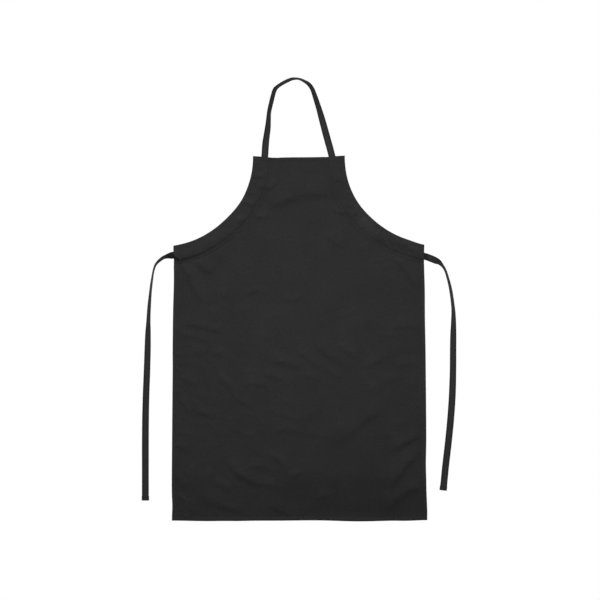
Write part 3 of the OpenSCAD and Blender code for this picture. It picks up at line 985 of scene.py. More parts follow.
def facing_front(x, z, along, depth, open_mouth):
    """y of a facing's front: it stands off over the strap, with short wrinkles, and the rows
    of stitches draw it to the panel."""
    gap = tunnel_gap(along, depth) * (1 - 0.6 * groove(depth, 1.5))
    over_strap = smooth(depth, 4, 14) * smooth(CASING_ROWS[0] - depth, 0, 8)
    wrinkle = 0.25 * np.sin((along - 0.6 * depth) / 5.1) * over_strap
    rows = 0.35 * (groove(depth - CASING_ROWS[0]) + groove(depth - CASING_ROWS[1]))
    return -drape(x, z) + gap + wrinkle - rows + row_sink(along, depth, open_mouth)


def facing_thickness(depth):
    """One layer of cloth, two where the inner edge is turned under, and a thin rim."""
    turned_under = smooth(depth, FACING_WIDTH - 7, FACING_WIDTH - 5.5)
    return CLOTH * (1 + turned_under) * (1 - 0.6 * smooth(depth, FACING_WIDTH - 1.2, FACING_WIDTH))


def facing(side, name, node, open_mouth):
    """The facing of one armhole. side is 1 for the right and -1 for the left."""
    s, d = np.meshgrid(arm_along, FACING_DEPTHS[::-side], indexing="ij")
    flat = casing_place(s, d)
    x, z = side * flat[..., 0], flat[..., 1]
    y = facing_front(x, z, s, d, open_mouth)
    thin_ends = 0.35 * (rolled(s, 1) + rolled(ARM_LENGTH - s, 1))
    front = placed(x, y, z).reshape(-1, 3)
    back = placed(x, y + facing_thickness(d) - thin_ends, z).reshape(-1, 3)
    uv = np.stack([s, d], axis=-1).reshape(-1, 2)
    piece = closed_cloth(name, front, back, quads_of(counted(*x.shape)), uv)
    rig.replaces(piece, node)
    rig.ride(piece, "apron")
    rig.slot(piece, "twill")
    return piece


left_facing = facing(-1, "left_armhole_facing", "left_facing", OPEN_LEFT)
right_facing = facing(1, "right_armhole_facing", "right_facing", OPEN_RIGHT)

# %% [markdown]
# The strap is one long tape. It lies flat in the casings, turns edge-on over the top of the
# neck loop and round the bend of each tie, and hangs down from there. Its route is a row of
# places. Each is [x, y, z, twist], and twist turns the flat of the strap from facing the front,
# at 0 degrees, to standing edge-on, at 90. The ties' routes start from the lower end of the
# armhole, and both are written as if they hung on the right.

# %% Routes of the strap
LEFT_LEAD = [[-102, 1.5, -256, 0], [-97.8, 1.5, -235, 0], [-94.9, 1.6, -215, 0]]
RIGHT_LEAD = [[91.9, 1.6, -215, 0], [97, 1.5, -235, 0], [102, 1.5, -256, 0]]
NECK_ROUTE = [
    [-93, 1.8, -185, 0], [-91, 1.5, -165, 20], [-86.5, 1, -134, 34], [-84.5, 0.5, -112, 46],
    [-82.5, 0, -88, 55], [-75.8, 0, -58, 55], [-69.8, 0, -35, 56], [-65.9, 0, -25.8, 59],
    [-60.6, 0, -19.8, 67], [-49, 0, -11.5, 69], [-32, 0, -2.6, 68], [-18, 0, 2.6, 75],
    [-5, 0, 3.1, 82], [5, 0, 0.7, 80], [17, 0, -5.4, 73], [27, 0, -12.5, 63], [36, 0, -25, 57],
    [43.5, 0, -45, 50], [54.5, 0, -79, 39], [64, 0.5, -112, 24], [73, 1, -145, 10],
    [80.4, 1.5, -172, 3], [84.2, 1.8, -185, 0]]
LEFT_TIE_ROUTE = [
    [-47.3, 1.5, -18.3, 0], [-21, 1.5, -23, 0], [4.7, 1.4, -27, 8], [11, 2, -28, 34],
    [19.5, 2, -30, 54], [30, 2.5, -34, 66], [41.5, 3, -43, 72], [49.4, 3.5, -52.3, 78],
    [54, 4, -63, 81], [57.8, 4.5, -80, 82], [62.6, 5, -113, 77], [66, 5, -146, 71],
    [68.5, 5, -179, 65], [70, 4.5, -212, 59], [71, 4, -245, 43], [71.8, 3.5, -283, 32],
    [73.5, 2.5, -344, 26], [76, 2, -411, 22], [77.5, 2, -477, 16], [78, 2, -543, 8],
    [78, 2, -609, 0], [78, 2, -653, 0], [78, 2, -703, 0]]
RIGHT_TIE_ROUTE = [
    [-47.3, 1.5, -17.5, 0], [-21, 1.5, -24.3, 0], [4.7, 1.5, -30.8, 0], [11, 1.5, -33.2, 4],
    [20, 1, -36.6, 12], [30, 1, -41, 22], [40, 1, -46, 48], [48, 1.5, -54, 68],
    [55.4, 2, -64.5, 76], [61.5, 2.5, -80, 77], [70.4, 3, -113, 72], [76, 3.5, -146, 70],
    [79.6, 4, -179, 63], [80.2, 4, -212, 49], [79.5, 3.5, -245, 35], [79, 3, -283, 30],
    [78.5, 2, -344, 26], [76.5, 1.5, -411, 14], [72, 1, -477, 4], [65.5, 1, -543, 0],
    [58.5, 1, -603, 0], [55, 1, -638, 0], [51.3, 1, -675, 0]]
print(len(LEFT_LEAD + NECK_ROUTE + RIGHT_LEAD), "places on the neck loop,",
      len(LEFT_TIE_ROUTE), "and", len(RIGHT_TIE_ROUTE), "on the ties")

# %% [markdown]
# A path is a smooth curve through the places of a route. A curve object with a bevel could
# carry the strap, but its tilt turns with the curve, and here the turn has to be exact at every
# point. So the path is worked out, and at each of its points the two directions that the
# strap's cross-section needs: across its width and out of its front.

# %% From a route to a path


def smooth_path(route, pitch=3.0):
    """A curve through the points of a route, with points at even distances. Between two
    points it is the usual cubic whose slope at each point follows the points beside it."""
    q = np.asarray(route, float)
    before, after = np.vstack([q[:1], q[:-2]]), np.vstack([q[2:], q[-1:]])
    a, b, c, d = (k[:, None, :] for k in (before, q[:-1], q[1:], after))
    u = np.linspace(0, 1, 12, endpoint=False)[None, :, None]
    curve = 0.5 * (2 * b + u * (c - a) + u * u * (2 * a - 5 * b + 4 * c - d)
                   + u**3 * (3 * b - a - 3 * c + d))
    curve = np.vstack([curve.reshape(-1, 4), q[-1:]])
    run = distances(curve[:, :3])
    even = np.linspace(0, run[-1], int(run[-1] / pitch) + 1)
    return np.stack([np.interp(even, run, curve[:, k]) for k in range(4)], axis=-1), even


def at_waist(side, route):
    """A tie's route, put in its place at the waist. On the left it is mirrored."""
    return [[side * (WAIST_HALF + x), y, WAIST_Z + z, side * twist] for x, y, z, twist in route]


def strap_frames(path):
    """For each point of a path: the direction across the strap's width, and the one out of
    its front, which is the front of the apron at no twist."""
    along = normalised(np.gradient(path[:, :3], axis=0))
    flat = np.stack([along[:, 2], np.zeros(len(along)), -along[:, 0]], axis=-1)
    twist = np.radians(path[:, 3])[:, None]
    wide = normalised(flat) * np.cos(twist) + np.array([0, 1, 0]) * np.sin(twist)
    return wide, normalised(np.cross(wide, along))


neck_path, neck_run = smooth_path(LEFT_LEAD + NECK_ROUTE + RIGHT_LEAD)
print(f"neck loop {neck_run[-1]:.0f} mm of strap, with the parts inside the casings")

# %% [markdown]
# The strap is folded cloth: its two edges are turned in and stitched, so it is thicker along
# both sides than down the middle. A flat ribbon would look like paper where it stands edge-on.
# So the cross-section is closed, across the front and back again behind, and its half thickness
# is a function of the place across: thin down the middle, thick over the turned edges, a small
# dent at the row of stitches, and round at the very edge.

# %% The strap's cross-section
STRAP_WIDTH, FOLD_WIDTH, STITCH_INSET = 19.0, 4.2, 2.1
# Distances in from the strap's edge where its thickness changes.
STRAP_INSIDES = np.array([0.02, 0.12, 0.35, 0.8, 1.4, 2.1, 2.8, 3.6, 4.2, 4.9])


def half_thickness(across, half_width):
    """Half the strap's thickness at distances from its centre line: the half thickness of the
    middle, more over the turned edges, less at the stitches, times a quarter circle at the
    very edge."""
    inside = half_width - np.abs(across)
    folded = smooth(FOLD_WIDTH - inside, -0.5, 0.5)
    middle = 0.34 + 0.2 * folded - 0.1 * groove(inside - STITCH_INSET, 0.8)
    return middle * np.sqrt(1 - (1 - np.clip(inside / 0.7, 0, 1)) ** 2)


def lie(run, across):
    """Small unevenness through the thickness: a slow cupping and short ripples."""
    cup = 0.35 * np.sin(run / 61 + 1.3) * (1 - (across / 9.5) ** 2)
    return cup + 0.16 * np.sin(run / 13.7) * np.cos(run / 37 + across / 6)


def tape(name, path, run, half_width=STRAP_WIDTH / 2):
    """A closed strap along a path: its front and its back are the centre line moved across the
    width and then to either side by half the thickness."""
    wide, outward = strap_frames(path)
    right = half_width - STRAP_INSIDES
    across = np.concatenate([-right, [-2.6, 0, 2.6], right[::-1]])
    r, a = np.meshgrid(run, across, indexing="ij")
    centre = path[:, None, :3] + wide[:, None] * a[..., None]
    centre = centre + outward[:, None] * lie(r, a)[..., None]
    half = half_thickness(a, half_width)[..., None] * outward[:, None]
    front, back = (centre + half).reshape(-1, 3), (centre - half).reshape(-1, 3)
    uv = np.stack([a, r], axis=-1).reshape(-1, 2)
    quads = quads_of(counted(*r.shape)[:, ::-1])
    piece = closed_cloth(name, front, back, quads, uv)
    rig.slot(piece, "strap_tape")
    return piece


# %% [markdown]
# The neck loop is the middle of the strap. It swings about a line just above the bib. Its two
# leads could be pieces of their own, but a joint would show, so they and the loop are one mesh
# that is blended across the hinge: it bends there as cloth does.

# %% The neck loop
NECK_HINGE_Z, NECK_BEND = -185.0, 8

neck = tape("neck_strap_tape", neck_path, neck_run)
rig.replaces(neck, "neck_strap", "left_neck_lead", "right_neck_lead")
neck_bend = [(0, 0, (NECK_HINGE_Z + reach) * MM) for reach in (-NECK_BEND, NECK_BEND)]
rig.blend(neck, "neck_leads", "neck_loop", *neck_bend)

# %% [markdown]
# Each tie hangs from its casing's mouth. It starts inside the casing, where it slides, and
# bends just outside the mouth, so it is blended there too. At its tip the strap is turned back
# on itself and stitched. That turned end is a short strap of its own, a little wider, because a
# fold never comes out quite as narrow as the tape.

# %% The ties and their turned ends
TIE_HINGE_X, TIE_BEND = 351.5, 4
TURN_LENGTH = 13.0
TURN_BEHIND, TURN_WIDER = 0.95, 0.7


def tie(word, route):
    """One tie with its turned end. Both are named for the side they hang on."""
    side = -1 if word == "left" else 1
    path, run = smooth_path(at_waist(side, route))
    strap = tape(word + "_tie_tape", path, run)
    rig.replaces(strap, word + "_tie", word + "_tie_lead")
    bend = [(side * (TIE_HINGE_X + reach) * MM, 0, 0) for reach in (-TIE_BEND, TIE_BEND)]
    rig.blend(strap, word + "_tie_slide", word + "_tie", *bend)

    turn = run > run[-1] - TURN_LENGTH - 2
    tip_path = path[turn] + np.array([0, TURN_BEHIND, 0, 0])
    end = tape(word + "_tie_turned_end_fold", tip_path, run[turn], STRAP_WIDTH / 2 + TURN_WIDER)
    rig.replaces(end, word + "_tie_turned_end")
    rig.ride(end, word + "_tie")
    print(f"{word} tie {run[-1]:.0f} mm, with the part inside the casing")
    return {"word": word, "strap": strap, "end": end, "path": path, "run": run, "bend": bend}


ties = [tie("left", LEFT_TIE_ROUTE), tie("right", RIGHT_TIE_ROUTE)]

# %% [markdown]
# Inside each casing the strap follows the armhole at a fixed depth. It can hardly be seen, but
# it fills the tunnel and shows in the open mouths, so it is made in the same way as the rest
# and not left out.

# %% The strap inside the casings
STRAP_DEPTH, STRAP_BEHIND = 30.0, 1.0

# The leads of the neck loop and of the ties take up the two ends of the casing.
hidden_run = np.linspace(0.07, 0.93, 110) * ARM_LENGTH
hidden_line = casing_place(hidden_run, np.full_like(hidden_run, STRAP_DEPTH))
hidden_length = distances(hidden_line)[-1]


def casing_run(word, side):
    """The strap between the two leads of one casing."""
    x, z = side * hidden_line[:, 0], hidden_line[:, 1]
    path = np.column_stack([placed(x, STRAP_BEHIND - drape(x, z), z), np.zeros_like(x)])
    piece = tape(word + "_casing_tape", path, hidden_run)
    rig.replaces(piece, word + "_casing_strap")
    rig.ride(piece, "apron")
    return piece


runs = [casing_run("left", -1), casing_run("right", 1)]
print(f"{hidden_length:.0f} mm of strap lie inside each casing, between the leads")

# %% [markdown]
# Thread is geometry too: a bump texture would vanish at the edge of a fold. One stitch is a
# small grain with four corners round it, which lies on the cloth and dips into it at both ends,
# and a row of them follows a line on the surface. All the stitches of a seam are one mesh, made
# at once: the shape of one stitch, repeated at every place.

# %% Rows of stitches
STITCH_PITCH, THREAD = 2.9, 0.46
# One stitch is four rings of four points: their places along the row in pitches, and how high
# and how thick they are in half threads.
GRAIN_ALONG = np.array([-0.46, -0.3, 0.3, 0.46])
GRAIN_RISE = np.array([-0.35, 0.35, 0.35, -0.35])
GRAIN_THICK = np.array([0.35, 1.0, 1.0, 0.35])
GRAIN_POINTS = 16


def stitch_faces():
    """The faces of one stitch: three rings of walls between its four rings of points, and its
    two ends."""
    k = np.arange(4)
    beside = (k + 1) % 4
    walls = np.concatenate([np.stack([r + k, r + beside, r + 4 + beside, r + 4 + k], axis=-1)
                            for r in (0, 4, 8)])
    ends = np.array([[3, 2, 1, 0], [12, 13, 14, 15]])
    return np.concatenate([walls[:, ::-1], ends[:, ::-1]])


def stitches_along(line, normal):
    """Points and faces of a row of stitches on a line of points with the surface's normals.
    A point of a stitch is its centre, moved along the row and up, plus its place on a ring."""
    run = distances(line)
    places = np.arange(STITCH_PITCH, run[-1] - STITCH_PITCH / 2, STITCH_PITCH)

    def at(values, where):
        """Values of the row at distances along it."""
        return np.stack([np.interp(where, run, values[:, k]) for k in range(3)], axis=-1)

    centre, up = at(line, places), normalised(at(normal, places))
    along = normalised(at(line, places + 1) - centre)
    beside = normalised(np.cross(along, up))
    centre, up, along, beside = (v[:, None, None] for v in (centre, up, along, beside))
    corner = np.radians([0, 90, 180, 270])
    ring_up, ring_side = np.sin(corner) * THREAD / 2, np.cos(corner) * THREAD / 2
    points = (centre + along * (GRAIN_ALONG * STITCH_PITCH)[:, None, None]
              + up * (GRAIN_RISE * THREAD / 2)[:, None, None]
              + up * (GRAIN_THICK[:, None] * ring_up)[..., None]
              + beside * (GRAIN_THICK[:, None] * ring_side)[..., None])
    first = GRAIN_POINTS * np.arange(len(places))[:, None, None]
    return points.reshape(-1, 3), (first + stitch_faces()).reshape(-1, 4)


def thread_piece(name, rows):
    """One mesh of stitches from several rows, each a pair (line, normals)."""
    points, faces, count = [], [], 0
    for line, normal in rows:
        row_points, row_faces = stitches_along(line, normal)
        points.append(row_points)
        faces.append(row_faces + count)
        count += len(row_points)
    piece = make_object(name, np.concatenate(points) * MM, np.concatenate(faces), sharp=180)
    print(f"{name}: {count // GRAIN_POINTS} stitches")
    return piece


print(f"a stitch has {len(stitch_faces())} faces, and there is one every {STITCH_PITCH} mm")

# %% [markdown]
# The seams of the apron: two rows along each casing and one row along each hem, seen from the
# front and from the back. A row's line is found in the same way as the cloth it lies on, so
# that the stitches follow every crease.

# %% Thread on the apron
FRONT, BACK = np.array([0, -1.0, 0]), np.array([0, 1.0, 0])
BACK_PULL = 1.6
side_rows_end = HEM_Z + 9


def with_normals(line, facing_way):
    """A line and, at every point, the direction that is square to it and faces one way."""
    along = normalised(np.gradient(line, axis=0))
    up = facing_way - along * (along @ facing_way)[:, None]
    return line, normalised(up)


def casing_row(side, depth, at_back):
    """One row of stitches along a casing."""
    s = np.linspace(1.5, ARM_LENGTH - 1.5, 400)
    d = np.full_like(s, depth)
    flat = casing_place(s, d)
    x, z = side * flat[:, 0], flat[:, 1]
    open_mouth = OPEN_LEFT if side < 0 else OPEN_RIGHT
    if at_back:
        y = facing_front(x, z, s, d, open_mouth) + facing_thickness(d)
    else:
        y = -CLOTH - drape(x, z) - hem_relief(x, z) - casing_relief(s, d, open_mouth)
    return with_normals(placed(x, y, z), BACK if at_back else FRONT)


def hem_row(line, inward, width, at_back):
    """One row of stitches along a hem. On the back it lies a little nearer to the edge, so
    that it stays on the folded strip."""
    width = width - BACK_PULL if at_back else width
    x, z = line[:, 0] + inward[0] * width, line[:, 1] + inward[1] * width
    y = cloth_back(x, z) + (2 * CLOTH + HEM_GAP if at_back else -CLOTH)
    return with_normals(placed(x, y, z), BACK if at_back else FRONT)


casing_rows = [casing_row(side, depth, at_back) for side in (-1, 1)
               for depth in CASING_ROWS for at_back in (False, True)]
hem_lines = [(level_line(TOP_Z, -in_bib, in_bib, 1), DOWN, TOP_HEM),
             (level_line(HEM_Z, -HEM_HALF, HEM_HALF, 1), UP, BOTTOM_HEM),
             (side_line(-1, SKIRT_TOP_Z, side_rows_end, 1), TO_RIGHT, SIDE_HEM),
             (side_line(1, SKIRT_TOP_Z, side_rows_end, 1), TO_LEFT, SIDE_HEM)]
hem_rows = [hem_row(*line, at_back) for at_back in (False, True) for line in hem_lines]
casing_thread = thread_piece("casing_stitches", casing_rows)
hem_thread = thread_piece("hem_stitches", hem_rows)
for piece in (casing_thread, hem_thread):
    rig.ride(piece, "apron")

# %% [markdown]
# The strap's edge stitches run along both sides, on its front and its back. They bend with
# the strap, so they are blended across the same hinge. A tie's turned end has two short rows
# across it as well.

# %% Thread on the strap
ACROSS_TIE = np.linspace(-7.5, 7.5, 20)


def edge_rows(path, run):
    """The four rows of a strap: both edges, front (face 1) and back (face -1)."""
    wide, outward = strap_frames(path)
    inset = STRAP_WIDTH / 2 - STITCH_INSET
    rows = []
    for across in (-inset, inset):
        for face in (1, -1):
            rise = lie(run, across) + face * half_thickness(across, STRAP_WIDTH / 2)
            line = path[:, :3] + wide * across + outward * rise[:, None]
            rows.append((line, face * outward))
    return rows


def cross_row(path, run, back_from_tip):
    """A row across a tie, on its front, at a distance from its tip."""
    at = int(np.searchsorted(run, run[-1] - back_from_tip))
    wide, outward = strap_frames(path)
    rise = lie(run[at], ACROSS_TIE) + half_thickness(ACROSS_TIE, STRAP_WIDTH / 2)
    line = path[at, :3] + wide[at] * ACROSS_TIE[:, None] + outward[at] * rise[:, None]
    return line, np.tile(outward[at], (len(ACROSS_TIE), 1))


neck_thread = thread_piece("neck_strap_stitches", edge_rows(neck_path, neck_run))
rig.blend(neck_thread, "neck_leads", "neck_loop", *neck_bend)
for made in ties:
    word, path, run = made["word"], made["path"], made["run"]
    rows = edge_rows(path, run) + [cross_row(path, run, back) for back in (2.5, TURN_LENGTH - 1)]
    made["thread"] = thread_piece(word + "_tie_stitches", rows)
    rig.blend(made["thread"], word + "_tie_slide", word + "_tie", *made["bend"])

# %% [markdown]
# Materials are small programs for colour and roughness. Clicked together by hand they are a
# tangle of boxes, so this class wraps a socket of the shader's node tree, and sums and products
# can be written as ordinary maths.

# %% A small language for shader maths


class Field:
    """A value that varies over the surface. Arithmetic on it adds Math nodes."""

    def __init__(self, finish, socket):
        self.finish, self.socket = finish, socket

    def maths(self, operation, *inputs):
        """A Math node of these inputs, as a field."""
        node = self.finish.node("Math", {"operation": operation})
        for place, value in enumerate(inputs):
            self.finish.give(node.inputs[place], value)
        return Field(self.finish, node.outputs[0])

    def __add__(self, other):
        return self.maths("ADD", self, other)

    def __sub__(self, other):
        return self.maths("SUBTRACT", self, other)

    def __rsub__(self, other):
        return self.maths("SUBTRACT", other, self)

    def __mul__(self, other):
        return self.maths("MULTIPLY", self, other)

    __radd__, __rmul__ = __add__, __mul__

    def sine(self):
        """The sine of the value, in radians."""
        return self.maths("SINE", self)

    def absolute(self):
        """The value without its sign."""
        return self.maths("ABSOLUTE", self)

    def step(self, low, high):
        """0 below low, 1 above high, soft in between."""
        return self.finish.read("Result", "MapRange", {"interpolation_type": "SMOOTHSTEP"},
                                Value=self, From_Min=low, From_Max=high)


print("a field takes +, - and *, from both sides")

# %% [markdown]
# A finish is the look of a cloth: its dye, its sheen and its weave. Here it is one material. All
# its nodes come from one method, node(), which takes a node's type, its settings and its
# inputs. The other methods are short names for what cloth needs most.

# %% A finish under construction


class Finish:
    """A material under construction: its tree, its shader and helpers that read the cloth."""

    def __init__(self, name):
        self.material = bpy.data.materials.new(name)
        self.material.use_nodes = True
        self.tree = self.material.node_tree
        self.shader = self.tree.nodes["Principled BSDF"]

    def give(self, socket, value):
        """Gives a socket a varying value, by a link, or a fixed one."""
        if isinstance(value, Field):
            self.tree.links.new(value.socket, socket)
        else:
            socket.default_value = value

    def node(self, kind, settings, **inputs):
        """Adds a node of a kind, sets its settings, then its inputs, and returns it."""
        node = self.tree.nodes.new("ShaderNode" + kind)
        for key, value in settings.items():
            setattr(node, key, value)
        for key, value in inputs.items():
            self.give(node.inputs[key.replace("_", " ")], value)
        return node

    def read(self, output, kind, settings, **inputs):
        """Adds a node and returns one of its outputs."""
        return Field(self, self.node(kind, settings, **inputs).outputs[output])

    def cloth_place(self):
        """Place on the flat cloth, in metres."""
        return self.read("UV", "UVMap", {"uv_map": "cloth"})

    def object_place(self):
        """Place in space, in metres."""
        return self.read("Object", "TexCoord", {})

    def split(self, vector):
        """The first two parts of a vector."""
        parts = self.node("SeparateXYZ", {}, Vector=vector).outputs
        return Field(self, parts["X"]), Field(self, parts["Y"])

    def attribute(self, name):
        """A number stored on the mesh's points."""
        return self.read("Fac", "Attribute", {"attribute_name": name})

    def noise(self, place, per_metre, detail=2.0, rough=0.5):
        """Smooth noise from 0 to 1 with so many lumps per metre."""
        return self.read("Fac", "TexNoise", {"noise_dimensions": "3D"}, Vector=place,
                         Scale=per_metre, Detail=detail, Roughness=rough)

    def mix(self, factor, a, b):
        """Colour a where factor is 0 and b where it is 1."""
        node = self.node("Mix", {"data_type": "RGBA"}, Factor=factor)
        for name, value in (("A", a), ("B", b)):
            socket = [i for i in node.inputs if i.name == name and i.type == "RGBA"][0]
            self.give(socket, value if isinstance(value, Field) else (*value, 1))
        return Field(self, [o for o in node.outputs if o.type == "RGBA"][0])

    def set(self, **values):
        """Sets inputs of the shader, to varying values or to fixed ones."""
        for key, value in values.items():
            self.give(self.shader.inputs[key.replace("_", " ")], value)

    def bump(self, height, strength, distance):
        """Turns a height into the shader's normal."""
        self.set(Normal=self.read("Normal", "Bump", {}, Height=height, Strength=strength,
                                  Distance=distance))


print("every node of a finish comes from its node() method")

# %% [markdown]
# The cloth is a black cotton and polyester twill. Its weave shows as fine diagonal ribs, which
# repeat every 0.78 mm along either thread. That is far too fine for geometry, so the ribs are
# sines on the cloth's own UV map, as colour and as bump. Black dye is never even: the cloth is
# mottled, a little greyer where it rubs, on its edges and partly on ridges and hems, and it
# carries specks of lint. Its tone also holds painted light and shade: paler crests, hems and
# patches as painted highlights, and darker stitch rows as painted shade.

# %% Twill
# The second colour is the pale end of the tone: real wear and mottling, and painted highlights where the attribute
# paints them.
BLACK, WORN_AND_LIT_BLACK, LINT = (0.0053, 0.0053, 0.0054), (0.0136, 0.0136, 0.0136), (0.12, 0.12, 0.12)
TWILL_RIB = 0.00078


def twill(name, rib, base, worn_and_lit, lint):
    """A woven black cloth with ribs of a given pitch in metres. Its tone is the sum of mottling
    in three sizes, the ribs and the wear attribute, which holds real wear and painted light and
    shade, and runs from the base colour to the paler one."""
    f = Finish(name)
    place = f.cloth_place()
    u, v = f.split(place)
    waver = f.noise(place, 130, 2) * 3.0
    ribs = ((u + v) * (2 * math.pi / rib) + waver).sine()
    weft = ((u - v * 1.7) * (2 * math.pi / rib / 1.6) - waver).sine()
    slub = f.noise(place, 420, 3)
    cloudy = f.noise(place, 13, 4, 0.6)
    fine = f.noise(place, 160, 3)
    tone = (cloudy - 0.5) * 0.4 + (fine - 0.5) * 0.6 + (slub - 0.5) * 0.5 + ribs * 0.16
    # The attribute adds real wear and painted light: painted highlights on crests, hems and patches, painted shade in
    # the stitch rows.
    tone = tone + f.attribute("wear_and_painted_light") * 0.12
    specks = f.noise(place, 900, 1).step(0.74, 0.8) * f.noise(place, 60, 2).step(0.5, 0.7)
    colour = f.mix(specks * 0.5, f.mix(tone.step(-0.35, 1.0), base, worn_and_lit), lint)
    f.set(Base_Color=colour, Roughness=0.86 + (slub - 0.5) * 0.12)
    f.set(Specular_IOR_Level=0.08, Sheen_Weight=0.02, Sheen_Roughness=0.5)
    f.set(Sheen_Tint=(0.85, 0.88, 1.0, 1))
    rumple = f.noise(place, 95, 3, 0.6)
    f.bump(ribs * 0.4 + weft * 0.12 + slub * 1.2 + rumple * 5.0, 0.6, 0.00022)
    return f.material


cloth_material = twill("black_twill", TWILL_RIB, BLACK, WORN_AND_LIT_BLACK, LINT)
print(f"{cloth_material.name}: {len(cloth_material.node_tree.nodes)} nodes")

# %% [markdown]
# The strap is the same cloth cut narrow, folded and pressed, so it is smoother. It has faded
# like the rest, but near the waist mouths and inside the casings it is painted deeper black as
# painted shade. The thread is polyester, tight and a little glossier than the cloth.

# %% Strap and thread
DARK_STRAP, PALE_STRAP = (0.0032, 0.0032, 0.0033), (0.0094, 0.0094, 0.0094)
# The strap's colour near the waist mouths and inside the casings: painted shade, darker than the faded strap.
PAINTED_SHADE_BLACK = (0.0022, 0.0022, 0.0022)
DARK_THREAD, PALE_THREAD = (0.003, 0.003, 0.003), (0.007, 0.007, 0.007)
STRAP_RIB = 0.0007


def strap_finish():
    """Pressed, folded cloth, darker along its stitched edges, and painted shade-black where the attribute is 0."""
    f = Finish("black_strap")
    place = f.cloth_place()
    across, along = f.split(place)
    ribs = ((across + along) * (2 * math.pi / STRAP_RIB)).sine()
    slub = f.noise(place, 500, 3)
    cloudy = f.noise(place, 30, 4, 0.6)
    middle = 1.0 - across.absolute().step(0.0045, 0.0062)
    tone = (cloudy - 0.5) * 0.6 + middle * 0.45 + (slub - 0.5) * 0.3
    faded = f.mix(tone.step(-0.3, 1.0), DARK_STRAP, PALE_STRAP)
    # Where the attribute is 0 the strap takes the painted shade colour.
    f.set(Base_Color=f.mix(f.attribute("wear_and_painted_light"), PAINTED_SHADE_BLACK, faded))
    f.set(Roughness=0.78 + (slub - 0.5) * 0.15)
    f.set(Specular_IOR_Level=0.1, Sheen_Weight=0.02, Sheen_Roughness=0.5)
    f.bump(ribs * 0.6 + slub * 0.8, 0.35, 0.0002)
    return f.material


def thread_finish():
    """Sewing thread of a slightly uneven black and shine."""
    f = Finish("black_thread")
    tone = f.noise(f.object_place(), 300, 2)
    f.set(Base_Color=f.mix(tone, DARK_THREAD, PALE_THREAD))
    f.set(Roughness=0.5 + tone * 0.2, Specular_IOR_Level=0.16)
    return f.material


strap_material, thread_material = strap_finish(), thread_finish()
for finish in (strap_material, thread_material):
    print(f"{finish.name}: {len(finish.node_tree.nodes)} nodes")

# %% [markdown]
# Black cloth turns grey where it rubs, along the edges and partly on the hems and ridges. Noise
# alone would put the grey anywhere. The same numbers hold painted light: the crests of the
# ridges, the hems and a few patches are painted paler as painted highlights, and the rows of
# stitches darker as painted shade. The height field knows where the ridges are, so all of it is
# worked out for every point and stored as an attribute of the mesh, which the finishes read.

# %% Where the panel is worn, and where light and shade are painted on it
RIDGE_REACH = 7.0
# Patches painted paler as painted highlights: middle x and z, turn in degrees, half length, half width, amount.
PAINTED_HIGHLIGHTS = [(182, -388, -52, 40, 17, 3.0), (-163, -374, 38, 26, 13, 0.9),
          (-220, -430, 27, 34, 10, 1.4), (318, -466, 0, 14, 9, 1.0)]


def add_wear_and_painted_light(piece, values):
    """Stores how worn each point of a piece is, with the light and shade painted on it, from one number or one for
    each point.
    """
    layer = piece.data.attributes.new("wear_and_painted_light", "FLOAT", "POINT")
    values = np.broadcast_to(np.asarray(values, np.float32), len(piece.data.vertices))
    layer.data.foreach_set("value", np.ascontiguousarray(values))


around = [(RIDGE_REACH, 0), (-RIDGE_REACH, 0), (0, RIDGE_REACH), (0, -RIDGE_REACH)]
nearby = np.mean([drape(panel_x + dx, panel_z + dz) for dx, dz in around], axis=0)
ridge = drape(panel_x, panel_z) - nearby
edge_distance = np.minimum(half_width(np.minimum(panel_z, WAIST_Z)) - np.abs(panel_x),
                           panel_z - HEM_Z)
on_hem = 1 - smooth(edge_distance, SIDE_HEM, SIDE_HEM + 4)
patchy = smooth(uneven(panel_x / 40 + 11, panel_z / 70 + 5), -0.5, 0.6)
# Ridge crests and the hems are painted paler: partly rubbing, partly a painted highlight. The very edges are rubbed.
panel_wear_and_painted_light = 0.55 * smooth(ridge, 0.03, 0.35) + 0.5 * (1 - smooth(edge_distance, 0.3, 2.5))
panel_wear_and_painted_light += (0.35 + 0.9 * patchy) * on_hem
# Each patch adds a painted highlight.
for mid_x, mid_z, turn, half_long, half_wide, amount in PAINTED_HIGHLIGHTS:
    c, s = math.cos(math.radians(turn)), math.sin(math.radians(turn))
    ahead = ((panel_x - mid_x) * c + (panel_z - mid_z) * s) / half_long
    aside = ((panel_z - mid_z) * c - (panel_x - mid_x) * s) / half_wide
    panel_wear_and_painted_light += amount * np.exp(-ahead**2 - aside**2)
# Painted shade: the rows of stitches on the casings are painted darker, as the shade in their grooves.
painted_seam_shade = sum(groove(DEPTHS - row, 1.3) for row in CASING_ROWS)
on_bib(panel_wear_and_painted_light)[:, :n_deep] -= 1.8 * painted_seam_shade
on_bib(panel_wear_and_painted_light)[:, -n_deep:] -= 1.2 * painted_seam_shade[::-1]
add_wear_and_painted_light(panel, np.tile(panel_wear_and_painted_light, 2))
print(f"ridges stand up to {ridge.max():.2f} mm above the cloth around them")

# %% [markdown]
# The strap is faded all over, and painted deeper black inside the casings and near the mouths,
# as painted shade. Each tie changes from the one to the other a little outside its mouth. x tells
# where, and from just below the mouth the whole tie is pale.

# %% Where the strap is faded, and where shade is painted on it
# For each tie: the distance from the apron's middle where its painted shade gives way to the
# faded colour, and over how far.
SHADE_ENDS = {"left": (372, 40), "right": (352, 8)}
FADED_BELOW, FADED_OVER = 495, 99


def point_places(piece):
    """The piece's points, in millimetres."""
    flat = np.zeros(3 * len(piece.data.vertices), np.float32)
    piece.data.vertices.foreach_get("co", flat)
    return flat.reshape(-1, 3) / MM


